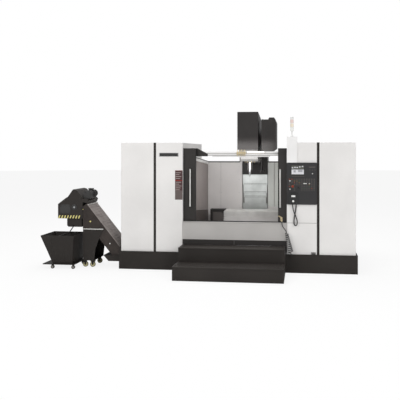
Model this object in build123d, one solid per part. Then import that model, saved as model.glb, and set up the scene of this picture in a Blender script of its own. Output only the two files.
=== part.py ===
from build123d import *
import math
import os

# A vertical machining centre in its sheet-metal enclosure, with its chip conveyor and chip bin.
# All sizes are millimetres. X runs right, Y runs back from the housings' front, Z runs up from the floor.

# Enclosure
ENCLOSURE_W = 4100
ENCLOSURE_TOP = 2230
ENCLOSURE_DEPTH = 2000
PLINTH_TOP = 315
PLINTH_PROUD = 30
PLINTH_WALL = 8
PLINTH_LEDGE = 50
SHEET = 3
OPENING_X = (-935, 884)
POST_W = 44
LEFT_POST_X = -1457
RIGHT_POST_X = 1395
POST_DEPTH = 25
GAP = 0.5
STANDING = (Align.CENTER, Align.CENTER, Align.MIN)

# Front of the work area
KICK_TOP = 547
SILL_TOP = 850
APRON_Y = (-20, 10)
STEP_X = (-930, 862)
STEP_FRONTS = (-900, -410)
STEP_TOPS = (225, 455)
TREAD = 5

# Sliding doors
DOOR_W = 970
DOOR_EDGE_X = (-714, 733)
DOOR_Y = (60, 105)
DOOR_Z = (850.3, 2135)
DOOR_FRAME = 150
DOOR_GLASS = 8
HANDLE_TOPS = 1772
HANDLE_BOTTOM = 1110
HANDLE_R = 14
DOOR_BEAM_Z = (2005, 2079)
DOOR_BEAM_Y = (150, 215)

# Machine
CENTRE_X = 165
COLUMN_FACE_Y = ENCLOSURE_DEPTH - 248
SPINDLE_Y = COLUMN_FACE_Y - 792
COLUMN_W = 560
COLUMN_DEPTH = 640
COLUMN_Z = (800, 2520)
BED_W = 1100
BED_Y = (260, ENCLOSURE_DEPTH + 460)
BED_Z = (75, 560)
BED_CORE_W = BED_W - 240
BED_CORE_H = 400
RAIL_W = 45
RAIL_H = 40
RUN = 0.3
SCREW_R = 20
SCREW_RUN = 0.05
TABLE_L = 1200
TABLE_LEFT_X = -300
TABLE_Y = (COLUMN_FACE_Y - 1052, COLUMN_FACE_Y - 552)
TABLE_Z = (850, 970)
SADDLE_X = (-500, 830)
SADDLE_Z = (606, 780)
TUB_X = (-745, 1060)
TUB_BACK_Y = COLUMN_FACE_Y - 127
TUB_TOP = 1880
TUB_FOOT = 640
SIDE_WALL_TOP = 1969
HOOD_Z = (2000, 2137)

# Spindle head
HEAD_W = 320
HEAD_FRONT_Y = SPINDLE_Y - 140
HEAD_Z = (1895, 2300)
HEAD_PLATE_Z = (1850, 2400)
HEAD_COVER_X = (-47, 337)
HEAD_COVER_Y = (SPINDLE_Y - 260, COLUMN_FACE_Y - 102)
HEAD_COVER_Z = (2111, 2812)
HEAD_COVER_FALL = 110
HEAD_PLATE_T = 52
NOSE_R = 45
NOSE_Z = 1727
WAY_X = CENTRE_X + 45
CARRIAGE_HALF_W = 252
CARRIAGE_Z = (1623, 2000)
CARRIAGE_Y = COLUMN_FACE_Y - 182

# Telescopic way covers
PLATE_LIPS = (1412, 1247, 1158)
PLATE_LAP = 62
PLATE_HALF_W = 245
PLATE_STEP = 10
PLATE_Y = COLUMN_FACE_Y - 100
COVER_BOX_TOP = 1046
COVER_BOX_HALF_W = 241
REAR_COVER_Y = (COLUMN_FACE_Y - 344, COLUMN_FACE_Y - 62)
WAY_GAP_HALF_W = 257
REAR_COVER_HALF_W = 411
Y_RAIL_HALF = 300
Z_RAIL_HALF = 190
X_RAIL_Y = (COLUMN_FACE_Y - 962, COLUMN_FACE_Y - 642)
X_SCREW_Y = COLUMN_FACE_Y - 802
X_SCREW_Z = 815
Y_SCREW_Z = 608
Z_SCREW_Y = COLUMN_FACE_Y - 28
CHUTE_LIP_Y = 560
CHUTE_LIP_Z = 365
MOTOR_COVER_X = (-635, -345)
MOTOR_COVER_TOP = 955
SLOT_COUNT = 5
SLOT_PITCH = 90
SLOT_W = 18
SLOT_FOOT_W = 30
SLOT_NECK = 18
SLOT_DEPTH = 32

# Spindle taper, tool and changer
TAPER_R = 22.2
TAPER_TIP_R = 12.6
TAPER_L = 66
FLANGE_R = 31.5
FLANGE_H = 25
TOOL_TIP_Z = 1605
MAG_X = (402, 670)
MAG_Y = (SPINDLE_Y - 270, SPINDLE_Y + 275)
MAG_Z = (2082, 2705)
DISC_Z = 2385
DISC_R = 262
DISC_X = (500, 560)
POTS = 16
DISC_AXLE_R = 22
CAM_BOX_H = 76
ARM_X = 388
ARM_REACH = ARM_X - CENTRE_X
ARM_Z = (1700, 1724)
ARM_SHAFT_R = 20

# Door details
LEADING_STILE = 210
WINDOW_FOOT = 190
HANDLE_INSET = (94, 36)

# Operator panel
PANEL_X = (885, 1394)
PANEL_Z = (1170, 1887)
PANEL_PROUD = 25
PANEL_SEAM_Z = 852
SCREEN_X = (954, 1186)
SCREEN_Z = (1674, 1848)
SCREEN_RECESS = 8
KEY_FIELD_Z = (1395, 1630)
KEY_RECESS = 5
KEY_ROWS = 7
KEY_COLS = 11
KEY_FIRST_X = 930
KEY_PITCH_X = 42
KEY_PITCH_Z = 31
KEY_W = 24
KEY_H = 4
SHELF_Z = 1366
STOP_XZ = (985, 1480)
START_XZ = (938, 1433)
FEED_XZ = (1075, 1448)
KNOB_R = 20
STEM_R = 6
STEM_DEPTH = 12
STOP_R = 19
START_R = 9
BUTTON_STAND = 6
PENDANT_X = (925, 1066)
PENDANT_Z = (1183, 1360)
PENDANT_D = 45
PENDANT_WHEEL_XZ = (995, 1232)
PENDANT_GLAND = (985, -48)
JUNCTION_X = (885, 1061)
JUNCTION_TOP = 2332
JUNCTION_BACK = 150
LAMP_XY = (971, 62)
LAMP_R = 27
LAMP_TOP = 2679

# Electrical cabinet
CABINET_X = (ENCLOSURE_W / 2 - 1200, ENCLOSURE_W / 2 - 100)
CABINET_Y = (ENCLOSURE_DEPTH, ENCLOSURE_DEPTH + 390)
CABINET_Z = (PLINTH_TOP, 2080)
DRIVE_SIZE = (110, 150, 260)
DRIVE_PITCH = (200, 700)
KNUCKLE_R = 8
KNUCKLE_L = 40
HINGE_PIN_R = 3

# Chip conveyor, tank and bin
CONVEYOR_Y = (50, 550)
CONVEYOR_PORT_Y = (20, 580)
CONVEYOR_PORT_TOP = 620
CONVEYOR_ANGLE = math.radians(51)
CONVEYOR_BEND = (-2070, 355)
CONVEYOR_RISE = 1010
CONVEYOR_DEPTH = 207
CONVEYOR_FLOOR = 140
CONVEYOR_END_X = -460
BELT_THICK = 14
BELT_FLAT_Z = 178
COVER_START = 30
COVER_RIBS = 16
HEAD_X0 = -3236
HEAD_X1 = -2775
SPROCKET_R = (66, 82)
SPROCKET_T = 18
SPROCKET_TEETH = 10
MOTOR_R = 62
FIN_R = 68
MOTOR_SEAT = 78
HEAD_LOW = 870
HEAD_NOSE = [(-3236, 1130), (-3096, 1235), (-3048, 1266), (-2952, 1400), (-2886, 1380), (-2775, 1240)]
HEAD_SHEET = 8
CHUTE_X = (-3080, -2805)
CHUTE_BEND = 24
CHUTE_FOOT = 716
SHAFT_R = 16
SHAFT_XZ = (-2930, 1075)
MOTOR_XZ = (-2706, 1304)
BAR_TOP = 1226
BAR_X = -2692
STAND_X0 = -2768
STAND_X1 = -2387
STAND_TOP = 690
STAND_FOOT = 120
STAND_CASTORS = ((-2735, 90), (-2600, 90), (-2735, 470), (-2600, 470))
CASTOR_R = 48
TANK_X = (-2384, -440)
TANK_Y = (28, 572)
TANK_Z = (121, 225)
BIN_RIM_X = (-3476, -2860)
BIN_FOOT_X = (-3257, -2900)
BIN_Y = (-170, 430)
BIN_Z = (90, 580)
PLATFORM_X = (-3429, -2845)
PLATFORM_Y = (-190, 400)
PLATFORM_Z = (76, 90)
BIN_WHEEL_X = (-3255, -2875)
BIN_WHEEL_Y = (-150, 350)
BIN_WHEEL_R = 32
BIN_WHEEL_W = 28

# Air gun, its curly hose and the pendant's cable
GUN_X = 800
GUN_Y = -46
GUN_Z = 930
GUN_R = 11
HOSE_R = 5
COIL_TOP = (880, -80, 692)
COIL_FOOT = (956, -80, 350)
COIL_R = (30, 50)
HOSE_PORT = (957, 298)
HOSE_LEAD = [
    (800, -46, 880), (800, -46, 850), (808, -52, 806), (836, -66, 766), (873.5, -80, 721.3), COIL_TOP,
]
HOSE_TAIL = [COIL_FOOT, (961, -80, 327.5), (959, -78, 305), (957, -66, 298), (957, -50, 298)]
CABLE_R = 9
CABLE_ROUTE = [
    (1045, -12.5, 1170), (1045, -12.5, 1110), (1018, -18, 985), (1003, -24, 885), (1010, -34, 815),
    (1056, -46, 812), (1066, -52, 885), (1040, -58, 970), (985, -48, 1090), (985, -48, 1168.9),
]


def block(x, y, z):
    """A square-edged block between the limits (low, high) on each axis."""
    size = [high - low for low, high in (x, y, z)]
    middle = [(low + high) / 2 for low, high in (x, y, z)]
    return Pos(*middle) * Box(*size)


def across(outline, y):
    """An outline of (x, z) corners, drawn out between two depths."""
    face = make_face(Polyline(*outline, close=True))
    plane = Plane(origin=(0, y[1], 0), x_dir=(1, 0, 0), z_dir=(0, -1, 0))
    return extrude(plane * face, y[1] - y[0])


def along(outline, x):
    """An outline of (y, z) corners, drawn out between two places along X."""
    face = make_face(Polyline(*outline, close=True))
    return extrude(Plane(origin=(x[0], 0, 0), x_dir=(0, 1, 0), z_dir=(1, 0, 0)) * face, x[1] - x[0])


def rod_x(radius, x, y, z):
    return Pos((x[0] + x[1]) / 2, y, z) * Rot(0, 90, 0) * Cylinder(radius, x[1] - x[0])


def rod_y(radius, x, y, z):
    return Pos(x, (y[0] + y[1]) / 2, z) * Rot(90, 0, 0) * Cylinder(radius, y[1] - y[0])


def rod_z(radius, x, y, z):
    return Pos(x, y, (z[0] + z[1]) / 2) * Cylinder(radius, z[1] - z[0])


def span(middle, width):
    """The limits of a width about its middle."""
    return (middle - width / 2, middle + width / 2)


def rounded(shape, axis, radius):
    """The shape with its edges that run along one axis rounded."""
    return fillet(shape.edges().filter_by(axis), radius)


def plinth_frame():
    """The black sheet skirt round the machine's foot, folded in on top as a ledge, and two black posts."""
    x = (-ENCLOSURE_W / 2 - PLINTH_PROUD, ENCLOSURE_W / 2 + PLINTH_PROUD)
    y = (-PLINTH_PROUD, ENCLOSURE_DEPTH + PLINTH_PROUD)
    skirt = block(x, y, (0, PLINTH_TOP))
    inner_x = (x[0] + PLINTH_WALL, x[1] - PLINTH_WALL)
    inner_y = (y[0] + PLINTH_WALL, y[1] - PLINTH_WALL)
    ledge = PLINTH_LEDGE
    skirt -= block(inner_x, inner_y, (-1, PLINTH_TOP - PLINTH_WALL))
    skirt -= block((x[0] + ledge, x[1] - ledge), (y[0] + ledge, y[1] - ledge), (-1, PLINTH_TOP + 1))
    skirt -= block((x[0] - 1, x[0] + ledge + 1), CONVEYOR_PORT_Y, (-1, PLINTH_TOP + 1))
    skirt -= block(span(CENTRE_X, BED_W + 40), (y[1] - ledge - 1, y[1] + 1), (BED_Z[0], PLINTH_TOP + 1))
    for left in (LEFT_POST_X, RIGHT_POST_X):
        skirt += block((left, left + POST_W), (-GAP, POST_DEPTH - GAP), (PLINTH_TOP, ENCLOSURE_TOP + 4))
    return skirt


def housing(x, opening_side, door_x):
    """One side of the enclosure: a folded sheet casing, open below and with a slot for its door."""
    body = block(x, (0, ENCLOSURE_DEPTH), (PLINTH_TOP, ENCLOSURE_TOP))
    body = rounded(body, Axis.Z, 12)
    wall = 2 * SHEET
    body -= block(
        (x[0] + wall, x[1] - wall), (wall, ENCLOSURE_DEPTH - wall), (PLINTH_TOP - 1, ENCLOSURE_TOP - wall)
    )
    slot_x = (door_x[0] - 4, door_x[1] + 4)
    slot_z = (DOOR_Z[0] - 6, DOOR_Z[1] + 6)
    near = (opening_side - 2 * wall, opening_side + 2 * wall)
    cut_x = (max(slot_x[0], near[0]), min(slot_x[1], near[1]))
    return body - block(cut_x, (DOOR_Y[0] - 4, DOOR_Y[1] + 4), slot_z)


def left_housing():
    x = (-ENCLOSURE_W / 2, OPENING_X[0])
    body = housing(x, OPENING_X[0], (-1e4, 1e4))
    post = (LEFT_POST_X - GAP, LEFT_POST_X + POST_W + GAP)
    body -= block(post, (-1, POST_DEPTH), (PLINTH_TOP - 1, ENCLOSURE_TOP + 1))
    recess_x = (post[0] - SHEET, post[1] + SHEET)
    body += block(recess_x, (POST_DEPTH, POST_DEPTH + SHEET), (PLINTH_TOP, ENCLOSURE_TOP))
    body -= block((x[0] - 1, x[0] + 10), CONVEYOR_PORT_Y, (PLINTH_TOP - 1, CONVEYOR_PORT_TOP))
    return body - block((x[1] - 10, x[1] + 1), CONVEYOR_PORT_Y, (PLINTH_TOP - 1, CONVEYOR_BEND[1] + 15))


def right_housing():
    x = (OPENING_X[1], ENCLOSURE_W / 2)
    body = housing(x, OPENING_X[1], (-1e4, 1e4))
    post = (RIGHT_POST_X - GAP, RIGHT_POST_X + POST_W + GAP)
    body -= block(post, (-1, POST_DEPTH), (PLINTH_TOP - 1, ENCLOSURE_TOP + 1))
    recess_x = (post[0] - SHEET, post[1] + SHEET)
    body += block(recess_x, (POST_DEPTH, POST_DEPTH + SHEET), (PLINTH_TOP, ENCLOSURE_TOP))
    seam = block((x[0] - 1, RIGHT_POST_X - GAP), (-1, 2), (PANEL_SEAM_Z, PANEL_SEAM_Z + 5))
    body -= seam
    bay_y = (DOOR_BEAM_Y[1], TUB_BACK_Y)
    body -= block((x[0] - 1, TUB_X[1]), bay_y, (PLINTH_TOP - 1, ENCLOSURE_TOP + 1))
    height = (PLINTH_TOP, ENCLOSURE_TOP)
    body += block((TUB_X[1], TUB_X[1] + SHEET), (bay_y[0] - SHEET, bay_y[1] + SHEET), height)
    body += block((x[0], TUB_X[1] + SHEET), (bay_y[0] - SHEET, bay_y[0]), height)
    return body + block((x[0], TUB_X[1] + SHEET), (bay_y[1], bay_y[1] + SHEET), height)


def front_apron():
    """The wall below the doors: dark kick plate, pale apron and the door track on its top edge."""
    x = (OPENING_X[0] + GAP, OPENING_X[1] - GAP)
    outline = [
        (APRON_Y[0], STEP_TOPS[1]), (APRON_Y[0], KICK_TOP), (APRON_Y[0] + 8, KICK_TOP),
        (APRON_Y[0] + 8, SILL_TOP - 12), (APRON_Y[0] - 2, SILL_TOP - 12), (APRON_Y[0] - 2, SILL_TOP),
        (DOOR_Y[1] + 30, SILL_TOP), (DOOR_Y[1] + 30, SILL_TOP - 60), (DOOR_Y[1] + 26, SILL_TOP - 60),
        (DOOR_Y[1] + 26, SILL_TOP - 4), (APRON_Y[1], SILL_TOP - 4), (APRON_Y[1], STEP_TOPS[1]),
    ]
    wall = along(outline, x)
    for y in (DOOR_Y[0] - 8, DOOR_Y[1] + 4):
        wall += block(x, (y, y + 4), (SILL_TOP, SILL_TOP + 8))
    seam_x = (x[0] + x[1]) / 2
    wall -= block(span(seam_x, 5), (APRON_Y[0] - 1, APRON_Y[0] + 2), (STEP_TOPS[1] - 1, KICK_TOP + 1))
    return wall


def gun_hook():
    """A bent strip on the apron's right end, which the air gun hangs from."""
    face = APRON_Y[0]
    lip = GUN_Y + GUN_R + RUN
    outline = [(face + 8, SILL_TOP - 60), (face - 6, SILL_TOP - 60), (face - 6, GUN_Z + 8), (lip, GUN_Z + 8),
               (lip, GUN_Z + 14), (face, GUN_Z + 14), (face, SILL_TOP - 20), (face + 8, SILL_TOP - 20)]
    return along(outline, span(GUN_X, 16))


def step_platform():
    """Two steps folded from plate, with a cheek at each end."""
    back = -PLINTH_PROUD
    outer = [
        (STEP_FRONTS[0], 0), (STEP_FRONTS[0], STEP_TOPS[0]), (STEP_FRONTS[1], STEP_TOPS[0]),
        (STEP_FRONTS[1], STEP_TOPS[1]), (back, STEP_TOPS[1]), (back, 0),
    ]
    inner = [
        (STEP_FRONTS[0] + TREAD, -1), (STEP_FRONTS[0] + TREAD, STEP_TOPS[0] - TREAD),
        (STEP_FRONTS[1] + TREAD, STEP_TOPS[0] - TREAD), (STEP_FRONTS[1] + TREAD, STEP_TOPS[1] - TREAD),
        (back + 1, STEP_TOPS[1] - TREAD), (back + 1, -1),
    ]
    steps = along(outer, STEP_X) - along(inner, (STEP_X[0] + TREAD, STEP_X[1] - TREAD))
    for front, top in zip(STEP_FRONTS, STEP_TOPS):
        face = front - 8
        nosing = [(face, top - 22), (face, top - 3), (face + 3, top), (front, top), (front, top - 22)]
        steps += along(nosing, STEP_X)
    return steps


def door_beam():
    """The white beam over the doors: upper door track, lamp housing and a wedge sheet over the left wall."""
    x = OPENING_X
    beam = rounded(block(x, DOOR_BEAM_Y, DOOR_BEAM_Z), Axis.X, 6)
    low = DOOR_BEAM_Z[0]
    groove_y = (DOOR_BEAM_Y[0] - 1, DOOR_BEAM_Y[0] + 4)
    beam -= block((x[0] - 1, x[1] + 1), groove_y, (low + 26, low + 32))
    lamp = [(DOOR_BEAM_Y[1] - 50, low), (DOOR_BEAM_Y[1] - 42, low - 22), (DOOR_BEAM_Y[1] - 8, low - 22),
            (DOOR_BEAM_Y[1], low)]
    beam += along(lamp, (x[0] + 500, x[1] - 300))
    hood = [
        (DOOR_BEAM_Y[1] - 2, HOOD_Z[0]), (DOOR_BEAM_Y[1] - 2, HOOD_Z[1]),
        (TUB_BACK_Y - 120, HOOD_Z[0] + 18), (TUB_BACK_Y - SHEET, HOOD_Z[0]),
    ]
    return beam + along(hood, (TUB_X[0], TUB_X[0] + SHEET))


def splash_guard():
    """The folded tub round the table: side walls, a back wall with the ways' opening, two chip chutes."""
    front_y = DOOR_BEAM_Y[1]
    side = [
        (front_y, SIDE_WALL_TOP), (TUB_BACK_Y, TUB_TOP), (TUB_BACK_Y, TUB_FOOT),
        (CHUTE_LIP_Y, CHUTE_LIP_Z), (front_y, CHUTE_LIP_Z),
    ]
    back_y = (TUB_BACK_Y - SHEET, TUB_BACK_Y)
    guard = block(TUB_X, back_y, (TUB_FOOT - SHEET, TUB_TOP))
    cut_y = (back_y[0] - 1, back_y[1] + 1)
    foot_z = (TUB_FOOT - SHEET - 1, SADDLE_Z[1] + 60)
    guard -= block(span(CENTRE_X, 2 * REAR_COVER_HALF_W + 16), cut_y, foot_z)
    way_gap = span(WAY_X, 2 * WAY_GAP_HALF_W)
    gap_z = (SADDLE_Z[1] + 60, TUB_TOP)
    guard -= block(way_gap, cut_y, (gap_z[0] - 1, TUB_TOP + 1))
    fold_y = (back_y[0], PLATE_Y + 2)
    for fold_x in ((way_gap[0] - SHEET, way_gap[0]), (way_gap[1], way_gap[1] + SHEET)):
        guard += block(fold_x, fold_y, gap_z)
    chute = [
        (TUB_BACK_Y, TUB_FOOT), (TUB_BACK_Y, TUB_FOOT - SHEET), (CHUTE_LIP_Y, CHUTE_LIP_Z - SHEET),
        (CHUTE_LIP_Y, CHUTE_LIP_Z),
    ]
    inner_x = (CENTRE_X - BED_W / 2 - 10, CENTRE_X + BED_W / 2 + 10)
    for wall_x, chute_x in (((TUB_X[0], TUB_X[0] + SHEET), (TUB_X[0], inner_x[0])),
                            ((TUB_X[1] - SHEET, TUB_X[1]), (inner_x[1], TUB_X[1]))):
        guard += along(side, wall_x) + along(chute, chute_x)
    corner_z = (CHUTE_LIP_Z, SIDE_WALL_TOP)
    return guard + block((OPENING_X[0], TUB_X[0] + SHEET), (front_y, front_y + SHEET), corner_z)


def base_casting():
    """The cast bed: chip shoulders, a raised seat for the column, cored side pockets and two Y rails."""
    x = span(CENTRE_X, BED_W)
    outline = [
        (BED_Y[0], BED_Z[0]), (BED_Y[1], BED_Z[0]), (BED_Y[1], COLUMN_Z[0]),
        (COLUMN_FACE_Y - 20, COLUMN_Z[0]), (COLUMN_FACE_Y - 60, BED_Z[1]), (BED_Y[0], BED_Z[1]),
    ]
    bed = along(outline, x)
    pocket_l = (BED_Y[1] - BED_Y[0]) / 5
    for i in range(5):
        y = (BED_Y[0] + i * pocket_l + 45, BED_Y[0] + (i + 1) * pocket_l - 45)
        for side in (x[0], x[1]):
            bed -= block(span(side, 160), y, (BED_Z[0] + 60, BED_Z[1] - 90))
    core_top = BED_Z[0] + BED_CORE_H
    bed -= block(span(CENTRE_X, BED_CORE_W), (BED_Y[0] - 1, BED_Y[1] + 1), (BED_Z[0] - 1, core_top))
    seat_y = (COLUMN_FACE_Y + 60, BED_Y[1] - 60)
    bed -= block(span(CENTRE_X, BED_CORE_W), seat_y, (core_top - 1, COLUMN_Z[0] - 60))
    for side in (-1, 1):
        rail_x = span(CENTRE_X + side * Y_RAIL_HALF, RAIL_W)
        bed += block(rail_x, (BED_Y[0] + 20, COLUMN_FACE_Y - 70), (BED_Z[1], BED_Z[1] + RAIL_H))
    for y in (BED_Y[0] + 30, COLUMN_FACE_Y - 130):
        support = block(span(CENTRE_X, 120), (y, y + 50), (BED_Z[1], Y_SCREW_Z - SCREW_R - 8))
        bed += support
        bearing = block(span(CENTRE_X, 90), (y, y + 50), (Y_SCREW_Z - SCREW_R - 8, Y_SCREW_Z + SCREW_R + 12))
        bed += bearing - rod_y(SCREW_R + SCREW_RUN, CENTRE_X, (y - 1, y + 51), Y_SCREW_Z)
    return bed


def levelling_feet():
    """Round pads with levelling screws under the bed and the skirt."""
    feet = []
    for x in (CENTRE_X - BED_W / 2 + 90, CENTRE_X + BED_W / 2 - 90):
        for y in (BED_Y[0] + 120, (BED_Y[0] + BED_Y[1]) / 2, BED_Y[1] - 120):
            pad = Cylinder(75, 26, align=STANDING)
            pad = chamfer(pad.edges().filter_by(GeomType.CIRCLE).sort_by(Axis.Z)[-1], 6)
            pad += Pos(0, 0, 26) * Cylinder(22, BED_Z[0] - 26, align=STANDING)
            feet.append(Pos(x, y, 0) * pad)
    return Compound(children=feet)


def column():
    """The cast column: tapered ribbed box with a waist, two Z rails and the screw's bearing blocks."""
    x = span(CENTRE_X, COLUMN_W)
    face = COLUMN_FACE_Y
    outline = [
        (face, COLUMN_Z[0]), (face + COLUMN_DEPTH, COLUMN_Z[0]),
        (face + COLUMN_DEPTH - 60, COLUMN_Z[1] - 700), (face + COLUMN_DEPTH - 190, COLUMN_Z[1]),
        (face, COLUMN_Z[1]),
    ]
    post = along(outline, x)
    for i in range(3):
        z = (COLUMN_Z[0] + 120 + i * 520, COLUMN_Z[0] + 520 + i * 520)
        for side in x:
            post -= block(span(side, 90), (face + 90, face + COLUMN_DEPTH - 260), z)
    core = [
        (face + 60, COLUMN_Z[0] - 1), (face + COLUMN_DEPTH - 60, COLUMN_Z[0] - 1),
        (face + COLUMN_DEPTH - 120, COLUMN_Z[1] - 740), (face + COLUMN_DEPTH - 250, COLUMN_Z[1] - 60),
        (face + 60, COLUMN_Z[1] - 60),
    ]
    post -= along(core, span(CENTRE_X, COLUMN_W - 120))
    for side in (-1, 1):
        rail_x = span(CENTRE_X + side * Z_RAIL_HALF, RAIL_W)
        post += block(rail_x, (face - RAIL_H, face), (COLUMN_Z[0] + 140, COLUMN_Z[1] - 10))
    for z in (COLUMN_Z[0] + 150, COLUMN_Z[1] - 80):
        bearing = block(span(CENTRE_X, 90), (Z_SCREW_Y - SCREW_R - 8, face), (z, z + 50))
        post += bearing - rod_z(SCREW_R + SCREW_RUN, CENTRE_X, Z_SCREW_Y, (z - 1, z + 51))
    return post


def saddle():
    """The cross slide: a ribbed plate on four Y blocks, with two X rails and the X screw's bearings."""
    y = (TABLE_Y[0] - 60, TABLE_Y[1] + 260)
    body = block((CENTRE_X - 400, CENTRE_X + 400), y, SADDLE_Z)
    body += block(SADDLE_X, (TABLE_Y[0] - 30, TABLE_Y[1] + 30), (SADDLE_Z[0] + 60, SADDLE_Z[1]))
    for side in (-1, 1):
        x = CENTRE_X + side * Y_RAIL_HALF
        guide = block(span(x, RAIL_W + 50), y, (BED_Z[1] + 8, SADDLE_Z[0]))
        guide -= block(span(x, RAIL_W + 2 * RUN), (y[0] - 1, y[1] + 1), (BED_Z[1], BED_Z[1] + RAIL_H + RUN))
        body += guide
    body -= block(span(CENTRE_X, 130), (y[0] - 1, y[1] + 1), (SADDLE_Z[0] - 1, Y_SCREW_Z + SCREW_R + 20))
    for side in (-1, 1):
        pocket_x = span(CENTRE_X + side * 160, 150)
        body -= block(pocket_x, (y[0] + 60, y[1] - 60), (SADDLE_Z[0] - 1, SADDLE_Z[1] - 40))
    nut_y = span((TABLE_Y[0] + TABLE_Y[1]) / 2, 110)
    nut = block(span(CENTRE_X, 130), nut_y, (Y_SCREW_Z - SCREW_R - 8, SADDLE_Z[0] + 40))
    body += nut - rod_y(SCREW_R + SCREW_RUN, CENTRE_X, (nut_y[0] - 1, nut_y[1] + 1), Y_SCREW_Z)
    for rail_y in X_RAIL_Y:
        rail_z = (SADDLE_Z[1], SADDLE_Z[1] + RAIL_H - 4)
        body += block((SADDLE_X[0] + 10, SADDLE_X[1] - 10), span(rail_y, RAIL_W), rail_z)
    for x in (SADDLE_X[0], SADDLE_X[1] - 40):
        bearing = block((x, x + 40), span(X_SCREW_Y, 80), (SADDLE_Z[1] - 10, X_SCREW_Z + SCREW_R + 5))
        body += bearing - rod_x(SCREW_R + SCREW_RUN, (x - 1, x + 41), X_SCREW_Y, X_SCREW_Z)
    return body


def x_motor_cover():
    """The dark box over the X drive, on a shelf behind the left end of the saddle."""
    y = (TABLE_Y[1] + 32, TABLE_Y[1] + 230)
    shell = rounded(block(MOTOR_COVER_X, y, (SADDLE_Z[0] + 100, MOTOR_COVER_TOP)), Axis.Z, 8)
    foot = SADDLE_Z[0] + 100
    inner_x = (MOTOR_COVER_X[0] + SHEET, MOTOR_COVER_X[1] - SHEET)
    shell -= block(inner_x, (y[0] + SHEET, y[1] - SHEET), (foot - 1, MOTOR_COVER_TOP - SHEET))
    shelf = block((MOTOR_COVER_X[0] + 20, CENTRE_X - 400 - RUN), (y[0] + 20, y[1] - 20), (foot - 30, foot))
    return shell + shelf


def t_slot(y):
    """The section of one T-slot, cut from the table's top."""
    top = TABLE_Z[1]
    neck = SLOT_W / 2
    foot = SLOT_FOOT_W / 2
    outline = [
        (y - neck, top + 1), (y - neck, top - SLOT_NECK), (y - foot, top - SLOT_NECK),
        (y - foot, top - SLOT_DEPTH), (y + foot, top - SLOT_DEPTH), (y + foot, top - SLOT_NECK),
        (y + neck, top - SLOT_NECK), (y + neck, top + 1),
    ]
    return along(outline, (TABLE_LEFT_X - 1, TABLE_LEFT_X + TABLE_L + 1))


def table():
    """The work table: T-slotted plate with a coolant gutter round it, on four blocks and the X nut."""
    x = (TABLE_LEFT_X, TABLE_LEFT_X + TABLE_L)
    body = block(x, TABLE_Y, TABLE_Z)
    for i in range(SLOT_COUNT):
        body -= t_slot((TABLE_Y[0] + TABLE_Y[1]) / 2 + (i - (SLOT_COUNT - 1) / 2) * SLOT_PITCH)
    for y in (TABLE_Y[0] + 18, TABLE_Y[1] - 38):
        body -= block((x[0] + 12, x[1] - 12), (y, y + 20), (TABLE_Z[1] - 14, TABLE_Z[1] + 1))
    middle = (x[0] + x[1]) / 2
    for rail_y in X_RAIL_Y:
        for block_x in (middle - 300, middle + 300):
            guide = block(span(block_x, 120), span(rail_y, RAIL_W + 50), (SADDLE_Z[1] + 8, TABLE_Z[0]))
            rail_z = (SADDLE_Z[1], SADDLE_Z[1] + RAIL_H - 4 + RUN)
            guide -= block(span(block_x, 122), span(rail_y, RAIL_W + 2 * RUN), rail_z)
            body += guide
    nut = block(span(middle, 90), span(X_SCREW_Y, 80), (SADDLE_Z[1] + 4, TABLE_Z[0]))
    return body + nut - rod_x(SCREW_R + SCREW_RUN, span(middle, 92), X_SCREW_Y, X_SCREW_Z)


def x_ballscrew():
    return rod_x(SCREW_R, (SADDLE_X[0] - 15, SADDLE_X[1] + 15), X_SCREW_Y, X_SCREW_Z)


def y_ballscrew():
    return rod_y(SCREW_R, CENTRE_X, (BED_Y[0] + 15, COLUMN_FACE_Y - 68), Y_SCREW_Z)


def z_ballscrew():
    return rod_z(SCREW_R, CENTRE_X, Z_SCREW_Y, (COLUMN_Z[0] + 130, COLUMN_Z[1] + 30))


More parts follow.
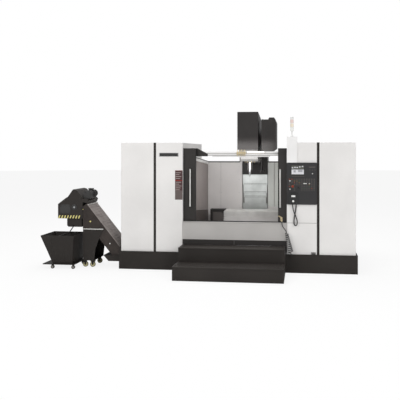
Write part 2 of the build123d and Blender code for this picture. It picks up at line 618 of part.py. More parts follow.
def spindle_head():
    """The head casting: a plate on the column's rails, a neck with chamfered belly and the spindle barrel."""
    face_y = COLUMN_FACE_Y - RAIL_H - RUN
    plate_x = span(CENTRE_X, 2 * Z_RAIL_HALF + RAIL_W + 60)
    plate = block(plate_x, (face_y - HEAD_PLATE_T, face_y), HEAD_PLATE_Z)
    neck = [
        (face_y - 40, HEAD_PLATE_Z[0] + 40), (HEAD_FRONT_Y + 170, HEAD_Z[0]), (HEAD_FRONT_Y + 30, HEAD_Z[0]),
        (HEAD_FRONT_Y, HEAD_Z[0] + 40), (HEAD_FRONT_Y, HEAD_Z[1] - 60), (HEAD_FRONT_Y + 60, HEAD_Z[1]),
        (face_y - 40, HEAD_Z[1]),
    ]
    head = plate + along(neck, span(CENTRE_X, HEAD_W))
    well_y = (SPINDLE_Y + 150, face_y - HEAD_PLATE_T - 60)
    head -= block(span(CENTRE_X, HEAD_W - 80), well_y, (HEAD_Z[0] + 40, HEAD_Z[1] + 1))
    barrel = rod_z(NOSE_R + 35, CENTRE_X, SPINDLE_Y, (HEAD_Z[0] - 18, HEAD_Z[0] + 1))
    head += barrel
    for side in (-1, 1):
        x = CENTRE_X + side * Z_RAIL_HALF
        for z in (HEAD_PLATE_Z[0] + 20, HEAD_PLATE_Z[1] - 140):
            guide = block(span(x, RAIL_W + 50), (face_y, COLUMN_FACE_Y - 8), (z, z + 120))
            guide -= block(span(x, RAIL_W + 2 * RUN), (face_y - RUN, COLUMN_FACE_Y), (z - 1, z + 121))
            head += guide
    nut_z = (HEAD_PLATE_Z[0] + 220, HEAD_PLATE_Z[0] + 310)
    nut = block(span(CENTRE_X, 90), (face_y - 1, COLUMN_FACE_Y - 4), nut_z)
    head += nut
    head -= rod_z(SCREW_R + SCREW_RUN, CENTRE_X, Z_SCREW_Y, (HEAD_PLATE_Z[0] - 1, HEAD_PLATE_Z[1] + 1))
    channel_y = (Z_SCREW_Y - SCREW_R - 12, face_y + 1)
    head -= block(span(CENTRE_X, 100), channel_y, (HEAD_PLATE_Z[1] - 90, HEAD_PLATE_Z[1] + 1))
    return head - rod_z(NOSE_R + SCREW_RUN, CENTRE_X, SPINDLE_Y, (HEAD_Z[0] - 30, HEAD_Z[1] + 1))


def spindle_motor():
    """The spindle motor on the head's top, standing on its flange."""
    z = HEAD_Z[1] + 40
    body = Pos(CENTRE_X, SPINDLE_Y + 20, z) * extrude(RectangleRounded(190, 190, 30), 300)
    flange = block(span(CENTRE_X, 230), span(SPINDLE_Y + 20, 230), (HEAD_Z[1], z))
    flange -= rod_z(NOSE_R + 12, CENTRE_X, SPINDLE_Y, (HEAD_Z[1] - 1, z + 1))
    return body + flange


def head_cover():
    """The black sheet cover over the motor: sloped roof, open below and at the back of its foot."""
    top = HEAD_COVER_Z[1]
    outline = [
        (HEAD_COVER_Y[0], HEAD_COVER_Z[0]), (HEAD_COVER_Y[0], top), (HEAD_COVER_Y[0] + 60, top),
        (HEAD_COVER_Y[1], top - HEAD_COVER_FALL), (HEAD_COVER_Y[1], HEAD_COVER_Z[0]),
    ]
    inner = [
        (HEAD_COVER_Y[0] + SHEET, HEAD_COVER_Z[0] - 1), (HEAD_COVER_Y[0] + SHEET, top - SHEET),
        (HEAD_COVER_Y[0] + 60, top - SHEET), (HEAD_COVER_Y[1] - SHEET, top - HEAD_COVER_FALL - SHEET),
        (HEAD_COVER_Y[1] - SHEET, HEAD_COVER_Z[0] - 1),
    ]
    x = HEAD_COVER_X
    cover = along(outline, x) - along(inner, (x[0] + SHEET, x[1] - SHEET))
    neck_y = (HEAD_COVER_Y[1] - SHEET - 1, HEAD_COVER_Y[1] + 1)
    return cover - block(span(CENTRE_X, HEAD_W + 2 * GAP), neck_y, (HEAD_COVER_Z[0] - 1, HEAD_Z[1] + GAP))


def head_apron():
    """The black carriage cover below the head, a sheet hood that the way covers rise into."""
    x = span(WAY_X, 2 * CARRIAGE_HALF_W)
    back = COLUMN_FACE_Y - RAIL_H - HEAD_PLATE_T - 2 * RUN
    hood = block(x, (CARRIAGE_Y, back), CARRIAGE_Z)
    inner_z = (CARRIAGE_Z[0] - 1, CARRIAGE_Z[1] - SHEET)
    hood -= block((x[0] + SHEET, x[1] - SHEET), (CARRIAGE_Y + SHEET, back + 1), inner_z)
    neck_z = (HEAD_Z[0] - 52, CARRIAGE_Z[1] + 1)
    hood -= block(span(CENTRE_X, HEAD_W + 2 * RUN), (CARRIAGE_Y - 1, back + 1), neck_z)
    return hood


def spindle_shaft():
    """The spindle: a nose with drive keys, a taper socket and the shaft up through the head."""
    shaft = rod_z(NOSE_R, CENTRE_X, SPINDLE_Y, (NOSE_Z + 12, HEAD_Z[1] + 30))
    nose_end = Pos(CENTRE_X, SPINDLE_Y, NOSE_Z)
    shaft += nose_end * Cone(NOSE_R - 5, NOSE_R, 12, align=STANDING)
    return shaft - nose_end * Cone(TAPER_R, TAPER_TIP_R, TAPER_L, align=STANDING)


def tool_holder():
    """A collet chuck with an end mill, its taper held in the spindle."""
    fit = SCREW_RUN
    taper = Cone(TAPER_R - fit, TAPER_TIP_R - fit, TAPER_L - 1, align=STANDING)
    holder = taper + rod_z(FLANGE_R, 0, 0, (-FLANGE_H, 0))
    groove_z = (-FLANGE_H * 0.62, -FLANGE_H * 0.38)
    holder -= rod_z(FLANGE_R + 1, 0, 0, groove_z) - rod_z(FLANGE_R - 5, 0, 0, groove_z)
    holder += rod_z(22, 0, 0, (-FLANGE_H - 22, -FLANGE_H))
    holder += Pos(0, 0, -FLANGE_H - 60) * Cone(17, 21, 38, align=STANDING)
    holder += rod_z(7, 0, 0, (TOOL_TIP_Z - NOSE_Z, -FLANGE_H - 60))
    return Pos(CENTRE_X, SPINDLE_Y, NOSE_Z - RUN) * holder


def way_plate(index):
    """One telescopic Z cover: a folded plate with two side flanges, a hem and an overlap above."""
    half = PLATE_HALF_W - PLATE_STEP * index
    y = PLATE_Y + PLATE_STEP * index
    lip = PLATE_LIPS[index]
    above = CARRIAGE_Z[0] if index == 0 else PLATE_LIPS[index - 1]
    z = (lip, above + PLATE_LAP)
    flange_y = COLUMN_FACE_Y - RAIL_H - 14
    plate = block(span(WAY_X, 2 * half), (y, y + 2), z)
    for side in (-1, 1):
        plate += block(span(WAY_X + side * (half - 1), 2), (y, flange_y), z)
    plate += block(span(WAY_X, 2 * half), (y - 5, y), (lip, lip + 6))
    if index == 0:
        strip_x = span(WAY_X, 2 * (CARRIAGE_HALF_W - SHEET - RUN))
        return plate + block(strip_x, (y, y + 2), (z[1] - 6, z[1]))
    return plate + block(span(WAY_X, 2 * half), (y - PLATE_STEP + 2 + RUN, y), (z[1] - 6, z[1]))


def rear_way_cover():
    """The fixed roof over the Y ways, and on its back the foot that the Z covers slide down behind."""
    eave = SADDLE_Z[1] + 8
    ridge = SADDLE_Z[1] + 36
    half = REAR_COVER_HALF_W
    outer = [
        (CENTRE_X - half, eave - 70), (CENTRE_X - half, eave + SHEET), (CENTRE_X, ridge + SHEET),
        (CENTRE_X + half, eave + SHEET), (CENTRE_X + half, eave - 70),
    ]
    inner = [
        (CENTRE_X - half + SHEET, eave - 71), (CENTRE_X - half + SHEET, eave), (CENTRE_X, ridge),
        (CENTRE_X + half - SHEET, eave), (CENTRE_X + half - SHEET, eave - 71),
    ]
    roof = across(outer, REAR_COVER_Y) - across(inner, (REAR_COVER_Y[0] - 1, REAR_COVER_Y[1] + 1))
    x = span(WAY_X, 2 * COVER_BOX_HALF_W)
    front = PLATE_Y - 20
    z = (COLUMN_Z[0] + 1, COVER_BOX_TOP)
    foot = block(x, (front, front + SHEET), z) + block(x, (front, COLUMN_FACE_Y), (z[0], z[0] + SHEET))
    inner_y = PLATE_Y + PLATE_STEP * len(PLATE_LIPS)
    inner_half = PLATE_HALF_W - PLATE_STEP * len(PLATE_LIPS)
    inner_top = PLATE_LIPS[-1] + PLATE_LAP
    foot += block(span(WAY_X, 2 * inner_half), (inner_y, inner_y + 2), (z[0], inner_top))
    wiper_y = (inner_y - PLATE_STEP + 2 + RUN, inner_y)
    foot += block(span(WAY_X, 2 * inner_half), wiper_y, (inner_top - 6, inner_top))
    for left in (x[0], x[1] - SHEET):
        foot += block((left, left + SHEET), (front, COLUMN_FACE_Y - RAIL_H - RUN), z)
    return roof + foot


def door(edge_x, hand):
    """A sliding door: a flanged sheet frame with a stiffened leading edge and a window. hand is 1 or -1."""
    x = (edge_x - DOOR_W, edge_x) if hand > 0 else (edge_x, edge_x + DOOR_W)
    frame = block(x, DOOR_Y, DOOR_Z)
    stiles = (DOOR_FRAME, LEADING_STILE) if hand > 0 else (LEADING_STILE, DOOR_FRAME)
    window_x = (x[0] + stiles[0], x[1] - stiles[1])
    window_z = (DOOR_Z[0] + WINDOW_FOOT, DOOR_Z[1] - DOOR_FRAME)
    frame -= rounded(block(window_x, (DOOR_Y[0] - 1, DOOR_Y[1] + 1), window_z), Axis.Y, 40)
    back_y = (DOOR_Y[0] + 14, DOOR_Y[1] + 1)
    hollow_z = (window_z[0] - WINDOW_FOOT + SHEET, window_z[0] - 20)
    frame -= block((x[0] + SHEET, x[1] - SHEET), back_y, hollow_z)
    return frame, window_x, window_z


def door_glass(window_x, window_z):
    """The safety pane, seated in its door's opening."""
    middle = (DOOR_Y[0] + DOOR_Y[1]) / 2
    return rounded(block(window_x, span(middle, DOOR_GLASS), window_z), Axis.Y, 40)


def handle(x):
    """A straight bar handle on two stand-offs."""
    bar_y = DOOR_Y[0] - 30
    bar = rod_z(HANDLE_R, x, bar_y, (HANDLE_BOTTOM, HANDLE_TOPS))
    bar = chamfer(bar.edges().filter_by(GeomType.CIRCLE), 3)
    for z in (HANDLE_BOTTOM + 60, HANDLE_TOPS - 60):
        bar += rod_y(8, x, (bar_y, DOOR_Y[0]), z)
    return bar


def operator_panel():
    """The control panel: a rounded bezel with recesses for the screen and the keys, over a lower shelf."""
    body = rounded(block(PANEL_X, (-PANEL_PROUD, 0), PANEL_Z), Axis.Y, 10)
    body -= block(SCREEN_X, (-PANEL_PROUD - 1, -PANEL_PROUD + SCREEN_RECESS), SCREEN_Z)
    face = -PANEL_PROUD
    body -= block((PANEL_X[0] + 26, PANEL_X[1] - 26), (face - 1, face + KEY_RECESS), KEY_FIELD_Z)
    body -= block((PANEL_X[0] - 1, PANEL_X[1] + 1), (face - 1, face + 2), (SHELF_Z, SHELF_Z + 4))
    for x, z in (STOP_XZ, FEED_XZ):
        body -= rod_y(STEM_R + RUN, x, (-PANEL_PROUD - 1, -PANEL_PROUD + KEY_RECESS + STEM_DEPTH + 4), z)
    return body


def display_screen():
    """The flat display behind its glass."""
    y = (-PANEL_PROUD + SCREEN_RECESS - 5, -PANEL_PROUD + SCREEN_RECESS)
    return block((SCREEN_X[0] + GAP, SCREEN_X[1] - GAP), y, (SCREEN_Z[0] + GAP, SCREEN_Z[1] - GAP))


def panel_keys():
    """The keys in rows, as separate caps on the recessed field."""
    keys = []
    floor_y = -PANEL_PROUD + KEY_RECESS
    for row in range(KEY_ROWS):
        z = KEY_FIELD_Z[1] - 26 - row * KEY_PITCH_Z
        for col in range(KEY_COLS):
            x = KEY_FIRST_X + col * KEY_PITCH_X
            near_knob = any(math.hypot(x - a, z - b) < KNOB_R + 20 for a, b in (STOP_XZ, START_XZ, FEED_XZ))
            if not near_knob:
                keys.append(block(span(x, KEY_W), (floor_y - KEY_H, floor_y), span(z, KEY_W * 0.7)))
    x, z = START_XZ
    keys.append(rod_y(START_R, x, (floor_y - KEY_H - 3, floor_y), z))
    return Compound(children=keys)


def push_button(place, cap_r, cap_h):
    """A round button on its stem, standing its travel and a little more off the panel."""
    x, z = place
    floor_y = -PANEL_PROUD + KEY_RECESS
    cap = rod_y(cap_r, x, (floor_y - BUTTON_STAND - cap_h, floor_y - BUTTON_STAND), z)
    cap = chamfer(cap.edges().filter_by(GeomType.CIRCLE).sort_by(Axis.Y)[0], cap_h * 0.3)
    return cap + rod_y(STEM_R, x, (floor_y - BUTTON_STAND, floor_y + STEM_DEPTH - BUTTON_STAND), z)


def feed_knob():
    """The feed override knob: a tapered dial with a pointer rib."""
    x, z = FEED_XZ
    floor_y = -PANEL_PROUD + KEY_RECESS
    dial = Pos(x, floor_y - RUN, z) * Rot(90, 0, 0) * Cone(KNOB_R, KNOB_R - 4, 14, align=STANDING)
    dial += block(span(x, 5), (floor_y - 22, floor_y - 14), span(z, 2 * KNOB_R - 8))
    return dial + rod_y(STEM_R, x, (floor_y - RUN, floor_y + STEM_DEPTH), z)


def pendant():
    """The hand-wheel pendant: a rounded case with two selector bosses, hung on the panel's shelf."""
    case = rounded(block(PENDANT_X, (-PANEL_PROUD - PENDANT_D, -PANEL_PROUD), PENDANT_Z), Axis.Y, 18)
    face = -PANEL_PROUD - PENDANT_D
    for dx in (-28, 28):
        x = (PENDANT_X[0] + PENDANT_X[1]) / 2 + dx
        case += block(span(x, 24), (face - 12, face), span(PENDANT_Z[1] - 40, 24))
    case -= rod_y(STEM_R + RUN, PENDANT_WHEEL_XZ[0], (face - 1, -PANEL_PROUD - 8), PENDANT_WHEEL_XZ[1])
    return case + rod_z(9, PENDANT_GLAND[0], PENDANT_GLAND[1], (PENDANT_Z[0] - 14, PENDANT_Z[0]))


def pendant_wheel():
    """The pulse wheel with its crank pin."""
    x, z = PENDANT_WHEEL_XZ
    face = -PANEL_PROUD - PENDANT_D - RUN
    wheel = rod_y(34, x, (face - 12, face), z)
    wheel += rod_y(STEM_R, x, (face, face + PENDANT_D - 10), z)
    return wheel + rod_y(5, x, (face - 30, face - 12), z + 24)


def junction_box():
    """The white cable duct that stands on the panel and carries the signal lamp."""
    outline = [
        (-PANEL_PROUD + 1, PANEL_Z[1] + GAP), (-PANEL_PROUD + 1, JUNCTION_TOP), (JUNCTION_BACK, JUNCTION_TOP),
        (JUNCTION_BACK, ENCLOSURE_TOP), (-GAP / 2, ENCLOSURE_TOP), (-GAP / 2, PANEL_Z[1] + GAP),
    ]
    return along(outline, JUNCTION_X)


def signal_tower():
    """The signal lamp: a flanged foot, a pole and three lens modules under a cap, turned as one column."""
    r, top = LAMP_R, LAMP_TOP - JUNCTION_TOP
    module = 58
    low = top - 3 * module - 14
    outline = [(0, 0), (r, 0), (r, 8), (r * 0.55, 20), (r * 0.42, 24), (r * 0.42, low - 12), (r * 0.8, low)]
    for i in range(3):
        z = low + i * module
        outline += [(r, z + 2), (r, z + module - 6), (r * 0.86, z + module - 5), (r * 0.86, z + module)]
    outline += [(r, top - 14), (r * 0.9, top - 4), (r * 0.5, top), (0, top)]
    face = make_face(Plane.XZ * Polyline(*outline, close=True))
    return Pos(LAMP_XY[0], LAMP_XY[1], JUNCTION_TOP) * revolve(face, Axis.Z)


def electrical_cabinet():
    """The control cabinet on the back of the right housing: a folded box with its drives, open for a door."""
    body = block(CABINET_X, CABINET_Y, CABINET_Z)
    inner_x = (CABINET_X[0] + SHEET, CABINET_X[1] - SHEET)
    inner_y = (CABINET_Y[0] + SHEET, CABINET_Y[1] + 1)
    body -= block(inner_x, inner_y, (CABINET_Z[0] + SHEET, CABINET_Z[1] - SHEET))
    width, depth, height = DRIVE_SIZE
    for row in range(2):
        z = CABINET_Z[0] + DRIVE_PITCH[1] * (row + 0.5)
        for col in range(4):
            x = CABINET_X[0] + DRIVE_PITCH[0] * (col + 0.75)
            body += block((x, x + width), (CABINET_Y[0] + SHEET - 1, CABINET_Y[0] + depth), (z, z + height))
    for z in hinge_places():
        body += knuckle(CABINET_Y[1] - KNUCKLE_R, z)
        body += rod_z(HINGE_PIN_R, *hinge_axis(), (z + KNUCKLE_L - 1, z + 2 * KNUCKLE_L - 2))
    return body


def hinge_axis():
    return (CABINET_X[1] + KNUCKLE_R + RUN, CABINET_Y[1] + RUN / 2)


def hinge_places():
    """The heights of the cabinet's three hinges."""
    height = CABINET_Z[1] - CABINET_Z[0]
    return [CABINET_Z[0] + height * part for part in (0.1, 0.5, 0.85)]


def knuckle(tab_y, z):
    """Half a hinge: a barrel with the tab that joins it to its sheet, KNUCKLE_R deep from tab_y."""
    x, y = hinge_axis()
    tab = block((CABINET_X[1] - SHEET, x), (tab_y, tab_y + KNUCKLE_R), (z, z + KNUCKLE_L))
    return tab + rod_z(KNUCKLE_R, x, y, (z, z + KNUCKLE_L))


def cabinet_door():
    """The cabinet's door leaf with folded edges, hinge barrels and a latch plate."""
    y = (CABINET_Y[1] + RUN, CABINET_Y[1] + 22)
    leaf = block(CABINET_X, y, CABINET_Z)
    inner_x = (CABINET_X[0] + SHEET, CABINET_X[1] - SHEET)
    leaf -= block(inner_x, (y[0] - 1, y[1] - SHEET), (CABINET_Z[0] + SHEET, CABINET_Z[1] - SHEET))
    for z in hinge_places():
        low = z + KNUCKLE_L + RUN
        leaf += knuckle(y[0], low)
        leaf -= rod_z(HINGE_PIN_R + SCREW_RUN, *hinge_axis(), (low - 1, low + KNUCKLE_L + 1))
    latch_z = (CABINET_Z[0] + CABINET_Z[1]) / 2
    return leaf + block((CABINET_X[0] + 40, CABINET_X[0] + 75), (y[1], y[1] + 18), span(latch_z, 130))


def magazine_cover():
    """The black cover over the tool magazine: chamfered, ridged, open below, with the disc's axle in it."""
    x0, x1 = MAG_X
    low, high = MAG_Z
    outline = [
        (x0, low), (x1 - 62, low), (x1, low + 48), (x1, high - 90), (x1 - 38, high), (x1 - 126, high),
        (x1 - 146, high - 36), (x0, high - 36),
    ]
    inner = [
        (x0 + SHEET, low - 1), (x1 - 64, low - 1), (x1 - SHEET, low + 50), (x1 - SHEET, high - 92),
        (x1 - 40, high - SHEET), (x1 - 124, high - SHEET), (x1 - 144, high - 39), (x0 + SHEET, high - 39),
    ]
    shell = across(outline, MAG_Y) - across(inner, (MAG_Y[0] + SHEET, MAG_Y[1] - SHEET))
    return shell + rod_x(DISC_AXLE_R, (x0 + SHEET, DISC_X[1] + 12), SPINDLE_Y, DISC_Z)


def magazine_frame():
    """The arm that carries the magazine from the column, with the changer's cam box on its front."""
    column_x = CENTRE_X + COLUMN_W / 2
    low = MAG_Z[0] - CAM_BOX_H
    back = COLUMN_FACE_Y + 220
    outline = [
        (SPINDLE_Y - 65, low), (SPINDLE_Y - 65, MAG_Z[0]), (MAG_Y[1], MAG_Z[0]), (MAG_Y[1], DISC_Z + 60),
        (back, DISC_Z + 60), (back, DISC_Z - 150), (MAG_Y[1] + 60, DISC_Z - 230), (MAG_Y[1] + 60, low),
    ]
    arm = along(outline, (column_x, column_x + 24))
    arm += rounded(block((ARM_X - 34, MAG_X[1] - 80), span(SPINDLE_Y, 130), (low, MAG_Z[0])), Axis.Z, 10)
    return arm - rod_z(ARM_SHAFT_R + RUN, ARM_X, SPINDLE_Y, (low - 1, MAG_Z[0] - 14))


def tool_disc():
    """The disc of tool pots, with a hub on its axle."""
    disc = rod_x(DISC_R - 45, DISC_X, SPINDLE_Y, DISC_Z)
    for i in range(POTS):
        angle = 2 * math.pi * (i + 0.5) / POTS
        y = SPINDLE_Y + (DISC_R - 45) * math.sin(angle)
        z = DISC_Z + (DISC_R - 45) * math.cos(angle)
        disc += rod_x(30, (DISC_X[0] - 30, DISC_X[1] + 8), y, z)
    return disc - rod_x(DISC_AXLE_R + SCREW_RUN, (DISC_X[0] - 31, DISC_X[1] + 9), SPINDLE_Y, DISC_Z)


def change_arm():
    """The double-ended tool-change arm with a hooked jaw at each end, on its shaft."""
    z = ARM_Z
    jaw_r = FLANGE_R + 1.5
    arm = block(span(ARM_X, 52), span(SPINDLE_Y, 2 * ARM_REACH), z)
    for side in (-1, 1):
        y = SPINDLE_Y + side * ARM_REACH
        arm += rod_z(jaw_r + 14, ARM_X, y, z)
        arm -= rod_z(jaw_r, ARM_X, y, (z[0] - 1, z[1] + 1))
        open_x = (ARM_X - jaw_r - 20, ARM_X) if side > 0 else (ARM_X, ARM_X + jaw_r + 20)
        arm -= block(open_x, span(y, 2 * jaw_r), (z[0] - 1, z[1] + 1))
    return arm + rod_z(ARM_SHAFT_R, ARM_X, SPINDLE_Y, (z[1], MAG_Z[0] - 15))


def incline(distance, offset):
    """The (x, z) point so far up the conveyor's top edge from its bend, moved square to it by an offset."""
    run, rise = -math.cos(CONVEYOR_ANGLE), math.sin(CONVEYOR_ANGLE)
    x, z = CONVEYOR_BEND
    return (x + distance * run - offset * rise, z + distance * rise + offset * run)


def conveyor_outline(inset):
    """The trough's side outline, all of it inset by a wall: a flat run and the incline."""
    floor = CONVEYOR_FLOOR + inset
    top = CONVEYOR_BEND[1] - inset
    low = incline(CONVEYOR_RISE, CONVEYOR_DEPTH - inset)
    high = incline(CONVEYOR_RISE, inset)
    foot_x = low[0] + (low[1] - floor) / math.tan(CONVEYOR_ANGLE)
    bend_x = CONVEYOR_BEND[0] - inset * math.tan(CONVEYOR_ANGLE / 2)
    end_x = CONVEYOR_END_X - inset
    return [(end_x, floor), (end_x, top), (bend_x, top), high, low, (foot_x, floor)]


def conveyor_trough():
    """The bent trough of the chip conveyor, open on top inside the machine, with a gusset to its stand."""
    trough = across(conveyor_outline(0), CONVEYOR_Y)
    trough -= across(conveyor_outline(SHEET), (CONVEYOR_Y[0] + SHEET, CONVEYOR_Y[1] - SHEET))
    mouth = (CONVEYOR_BEND[0] + 120, CONVEYOR_END_X - 40)
    top = CONVEYOR_BEND[1]
    trough -= block(mouth, (CONVEYOR_Y[0] + 20, CONVEYOR_Y[1] - 20), (top - 5, top + 1))
    under = incline(CONVEYOR_RISE, CONVEYOR_DEPTH)
    low_x = under[0] + (under[1] - STAND_TOP) / math.tan(CONVEYOR_ANGLE)
    near_x = HEAD_X1 + 1
    near_z = under[1] - (near_x - under[0]) * math.tan(CONVEYOR_ANGLE)
    gusset = [(near_x, STAND_TOP), (near_x, near_z), (low_x, STAND_TOP)]
    runner_x = (CONVEYOR_BEND[0] + 100, CONVEYOR_END_X - 70)
    runner_z = (BELT_FLAT_Z - BELT_THICK - 12, BELT_FLAT_Z - BELT_THICK)
    for y, runner_y in ((CONVEYOR_Y[0], (CONVEYOR_Y[0], CONVEYOR_Y[0] + 45)),
                        (CONVEYOR_Y[1] - SHEET, (CONVEYOR_Y[1] - 45, CONVEYOR_Y[1]))):
        trough += across(gusset, (y, y + SHEET)) + block(runner_x, runner_y, runner_z)
    return trough


def conveyor_cover():
    """The ribbed cover plate on the incline, with a flanged bar across its upper end."""
    low = incline(COVER_START, 0)
    high = incline(CONVEYOR_RISE - 12, 0)
    corners = [low, high, incline(CONVEYOR_RISE - 12, -6), incline(COVER_START, -6)]
    y = (CONVEYOR_Y[0] - 4, CONVEYOR_Y[1] + 4)
    cover = across(corners, y)
    for i in range(COVER_RIBS):
        start = COVER_START + 60 + i * (CONVEYOR_RISE - COVER_START - 120) / COVER_RIBS
        rib = [incline(start, -6), incline(start + 14, -6), incline(start + 10, -11), incline(start + 4, -11)]
        cover += across(rib, (y[0] + 30, y[1] - 30))
    return cover


def conveyor_head():
    """The black drive head: a sheet casing with a rounded nose, a peaked roof, and the chute below it."""
    y = (CONVEYOR_Y[0] - 12, CONVEYOR_Y[1] + 12)
    x0, x1 = HEAD_X0, HEAD_X1
    wall = HEAD_SHEET
    outline = [(x0, HEAD_LOW), *HEAD_NOSE, (x1, HEAD_LOW)]
    casing = across(outline, y)
    casing = fillet(casing.edges().filter_by(Axis.Y).sort_by(Axis.Z)[-1], 3 * wall)
    inner = [(x0 + wall, HEAD_LOW - 1)]
    inner += [(x + wall, z - wall) for x, z in HEAD_NOSE[:3]]
    inner += [(x, z - wall) for x, z in HEAD_NOSE[3:5]]
    inner += [(x1 - wall, HEAD_NOSE[5][1] - wall), (x1 - wall, HEAD_LOW - 1)]
    casing -= across(inner, (y[0] + wall, y[1] - wall))
    for side_y in ((y[0], y[0] + 50), (y[1] - 50, y[1])):
        casing += block((CHUTE_X[0] - 6, CHUTE_X[1] + 6), side_y, (HEAD_LOW, HEAD_LOW + wall))
    casing += chute(0, y, HEAD_LOW, CHUTE_FOOT) - chute(wall / 2, y, HEAD_LOW + 1, CHUTE_FOOT - 1)
    bar = [(x1 - 4, BAR_TOP), (BAR_X, BAR_TOP), (BAR_X + 24, BAR_TOP - 30), incline(CONVEYOR_RISE - 10, -12),
           incline(CONVEYOR_RISE + 6, -12), (x1 - 4, BAR_TOP - 60)]
    casing += across(bar, y)
    casing -= across(conveyor_outline(-GAP), (CONVEYOR_Y[0] - GAP, CONVEYOR_Y[1] + GAP))
    return casing - rod_y(SHAFT_R + RUN, SHAFT_XZ[0], (y[0] - 1, y[1] + 1), SHAFT_XZ[1])


def chute(inset, y, top, foot):
    """The spout under the head, all of it inset by a wall, with a bent lower edge on the left."""
    low, high = CHUTE_X[0] + inset, CHUTE_X[1] - inset
    outline = [(low, top), (low, foot + CHUTE_BEND), (low + CHUTE_BEND, foot), (high, foot), (high, top)]
    return across(outline, (y[0] + 40 + inset, y[1] - 40 - inset))


def conveyor_motor():
    """The gear motor behind the head's peak: a gearbox with a finned motor lying across."""
    x, z = MOTOR_XZ
    y = (CONVEYOR_Y[0] + 40, CONVEYOR_Y[1] - 120)
    gear_end = y[0] + 110
    motor = rod_y(MOTOR_R, x, (gear_end, y[1]), z)
    for i in range(5):
        fin_y = gear_end + 24 + i * 40
        motor += rod_y(FIN_R, x, (fin_y, fin_y + 14), z)
    gearbox = block(span(x, 2 * MOTOR_R + 6), (y[0], gear_end), (z - MOTOR_SEAT, z + MOTOR_R))
    gearbox = rounded(gearbox, Axis.Y, 22)
    feet = block(span(x, 110), (y[0] + 10, y[1] - 20), (z - MOTOR_SEAT, z - 50))
    return motor + gearbox + feet


def conveyor_shaft():
    """The conveyor's drive shaft with two sprockets."""
    y = (CONVEYOR_Y[0] - 20, CONVEYOR_Y[1] + 20)
    shaft = rod_y(SHAFT_R, SHAFT_XZ[0], y, SHAFT_XZ[1])
    root, tip = SPROCKET_R
    for wheel_y in (CONVEYOR_Y[0] + 50, CONVEYOR_Y[1] - 50 - SPROCKET_T):
        outline = []
        for i in range(SPROCKET_TEETH):
            for radius, part in ((root, 0.0), (root, 0.35), (tip, 0.5), (tip, 0.85)):
                angle = 2 * math.pi * (i + part) / SPROCKET_TEETH
                point = (SHAFT_XZ[0] + radius * math.cos(angle), SHAFT_XZ[1] + radius * math.sin(angle))
                outline.append(point)
        shaft += across(outline, (wheel_y, wheel_y + SPROCKET_T))
    return shaft


def conveyor_stand():
    """The conveyor's stand: a ledge, two tapered side plates with cross ties, and four castors."""
    low_x = STAND_X0 + 205
    outline = [
        (STAND_X0, STAND_FOOT), (STAND_X0, STAND_TOP), (STAND_X1, STAND_TOP), (STAND_X1 - 85, 515),
        (STAND_X1 - 150, 335), (low_x, STAND_FOOT),
    ]
    ys = (CONVEYOR_Y[0] - 8, CONVEYOR_Y[1])
    stand = across(outline, (ys[0], ys[0] + 8)) + across(outline, (ys[1], ys[1] + 8))
    for y in ((ys[0] - 10, ys[0] + 8), (ys[1], ys[1] + 18)):
        stand += block((STAND_X0, STAND_X1), y, (STAND_TOP - 8, STAND_TOP))
    stand += block((STAND_X0, STAND_X0 + 150), (ys[0], ys[1] + 8), (STAND_TOP - 8, STAND_TOP))
    stand += block((STAND_X0, STAND_X0 + 6), (ys[0], ys[1] + 8), (STAND_FOOT, STAND_TOP))
    stand += block((STAND_X0, low_x), (ys[0], ys[1] + 8), (STAND_FOOT, STAND_FOOT + 6))
    for x, y in STAND_CASTORS:
        stand += rod_z(12, x, y, (CASTOR_R, STAND_FOOT + 1))
        stand += rod_y(CASTOR_R, x, span(y, 26), CASTOR_R)
    return stand


def conveyor_belt():
    """The hinged belt along the trough: flat plates with cleats, bent up the incline as one band."""
    thick = BELT_THICK
    lift = CONVEYOR_DEPTH - 60
    flat_z = BELT_FLAT_Z
    end = incline(CONVEYOR_RISE - 120, lift)
    end_low = incline(CONVEYOR_RISE - 120, lift + thick)
    bend_x = end[0] + (end[1] - flat_z) / math.tan(CONVEYOR_ANGLE)
    low_x = end_low[0] + (end_low[1] - flat_z + thick) / math.tan(CONVEYOR_ANGLE)
    end_x = CONVEYOR_END_X - 60
    flat = [(end_x, flat_z - thick), (end_x, flat_z), (bend_x, flat_z)]
    outline = [*flat, end, end_low, (low_x, flat_z - thick)]
    return across(outline, (CONVEYOR_Y[0] + 30, CONVEYOR_Y[1] - 30))


def coolant_tank():
    """The shallow tank that the conveyor stands in, with a sloped end that shows beside the skirt."""
    x, z = TANK_X, TANK_Z
    outline = [(x[1], z[0]), (x[1], z[1]), (x[0], z[1]), (x[0] + 94, z[0])]
    inner = [(TANK_X[1] - SHEET, TANK_Z[0] + SHEET), (TANK_X[1] - SHEET, TANK_Z[1] + 1),
             (TANK_X[0] + SHEET, TANK_Z[1] + 1), (TANK_X[0] + 94 + SHEET, TANK_Z[0] + SHEET)]
    tank = across(outline, TANK_Y) - across(inner, (TANK_Y[0] + SHEET, TANK_Y[1] - SHEET))
    for x in (TANK_X[0] + 300, TANK_X[1] - 120):
        for y in (TANK_Y[0] + 60, TANK_Y[1] - 60):
            tank += rod_z(30, x, y, (0, TANK_Z[0] + 1))
        tank += block(span(x, 40), (TANK_Y[0] + 60, TANK_Y[1] - 60), (TANK_Z[0] + SHEET, CONVEYOR_FLOOR))
    return tank


def tapered(low_x, low_y, low_z, high_x, high_y, high_z, inset):
    """A loft between two level rectangles, each given by its limits and drawn in by the inset."""
    faces = []
    for x, y, z in ((low_x, low_y, low_z), (high_x, high_y, high_z)):
        size = (x[1] - x[0] - 2 * inset, y[1] - y[0] - 2 * inset)
        faces.append(Pos((x[0] + x[1]) / 2, (y[0] + y[1]) / 2, z) * Rectangle(*size))
    return loft(faces)


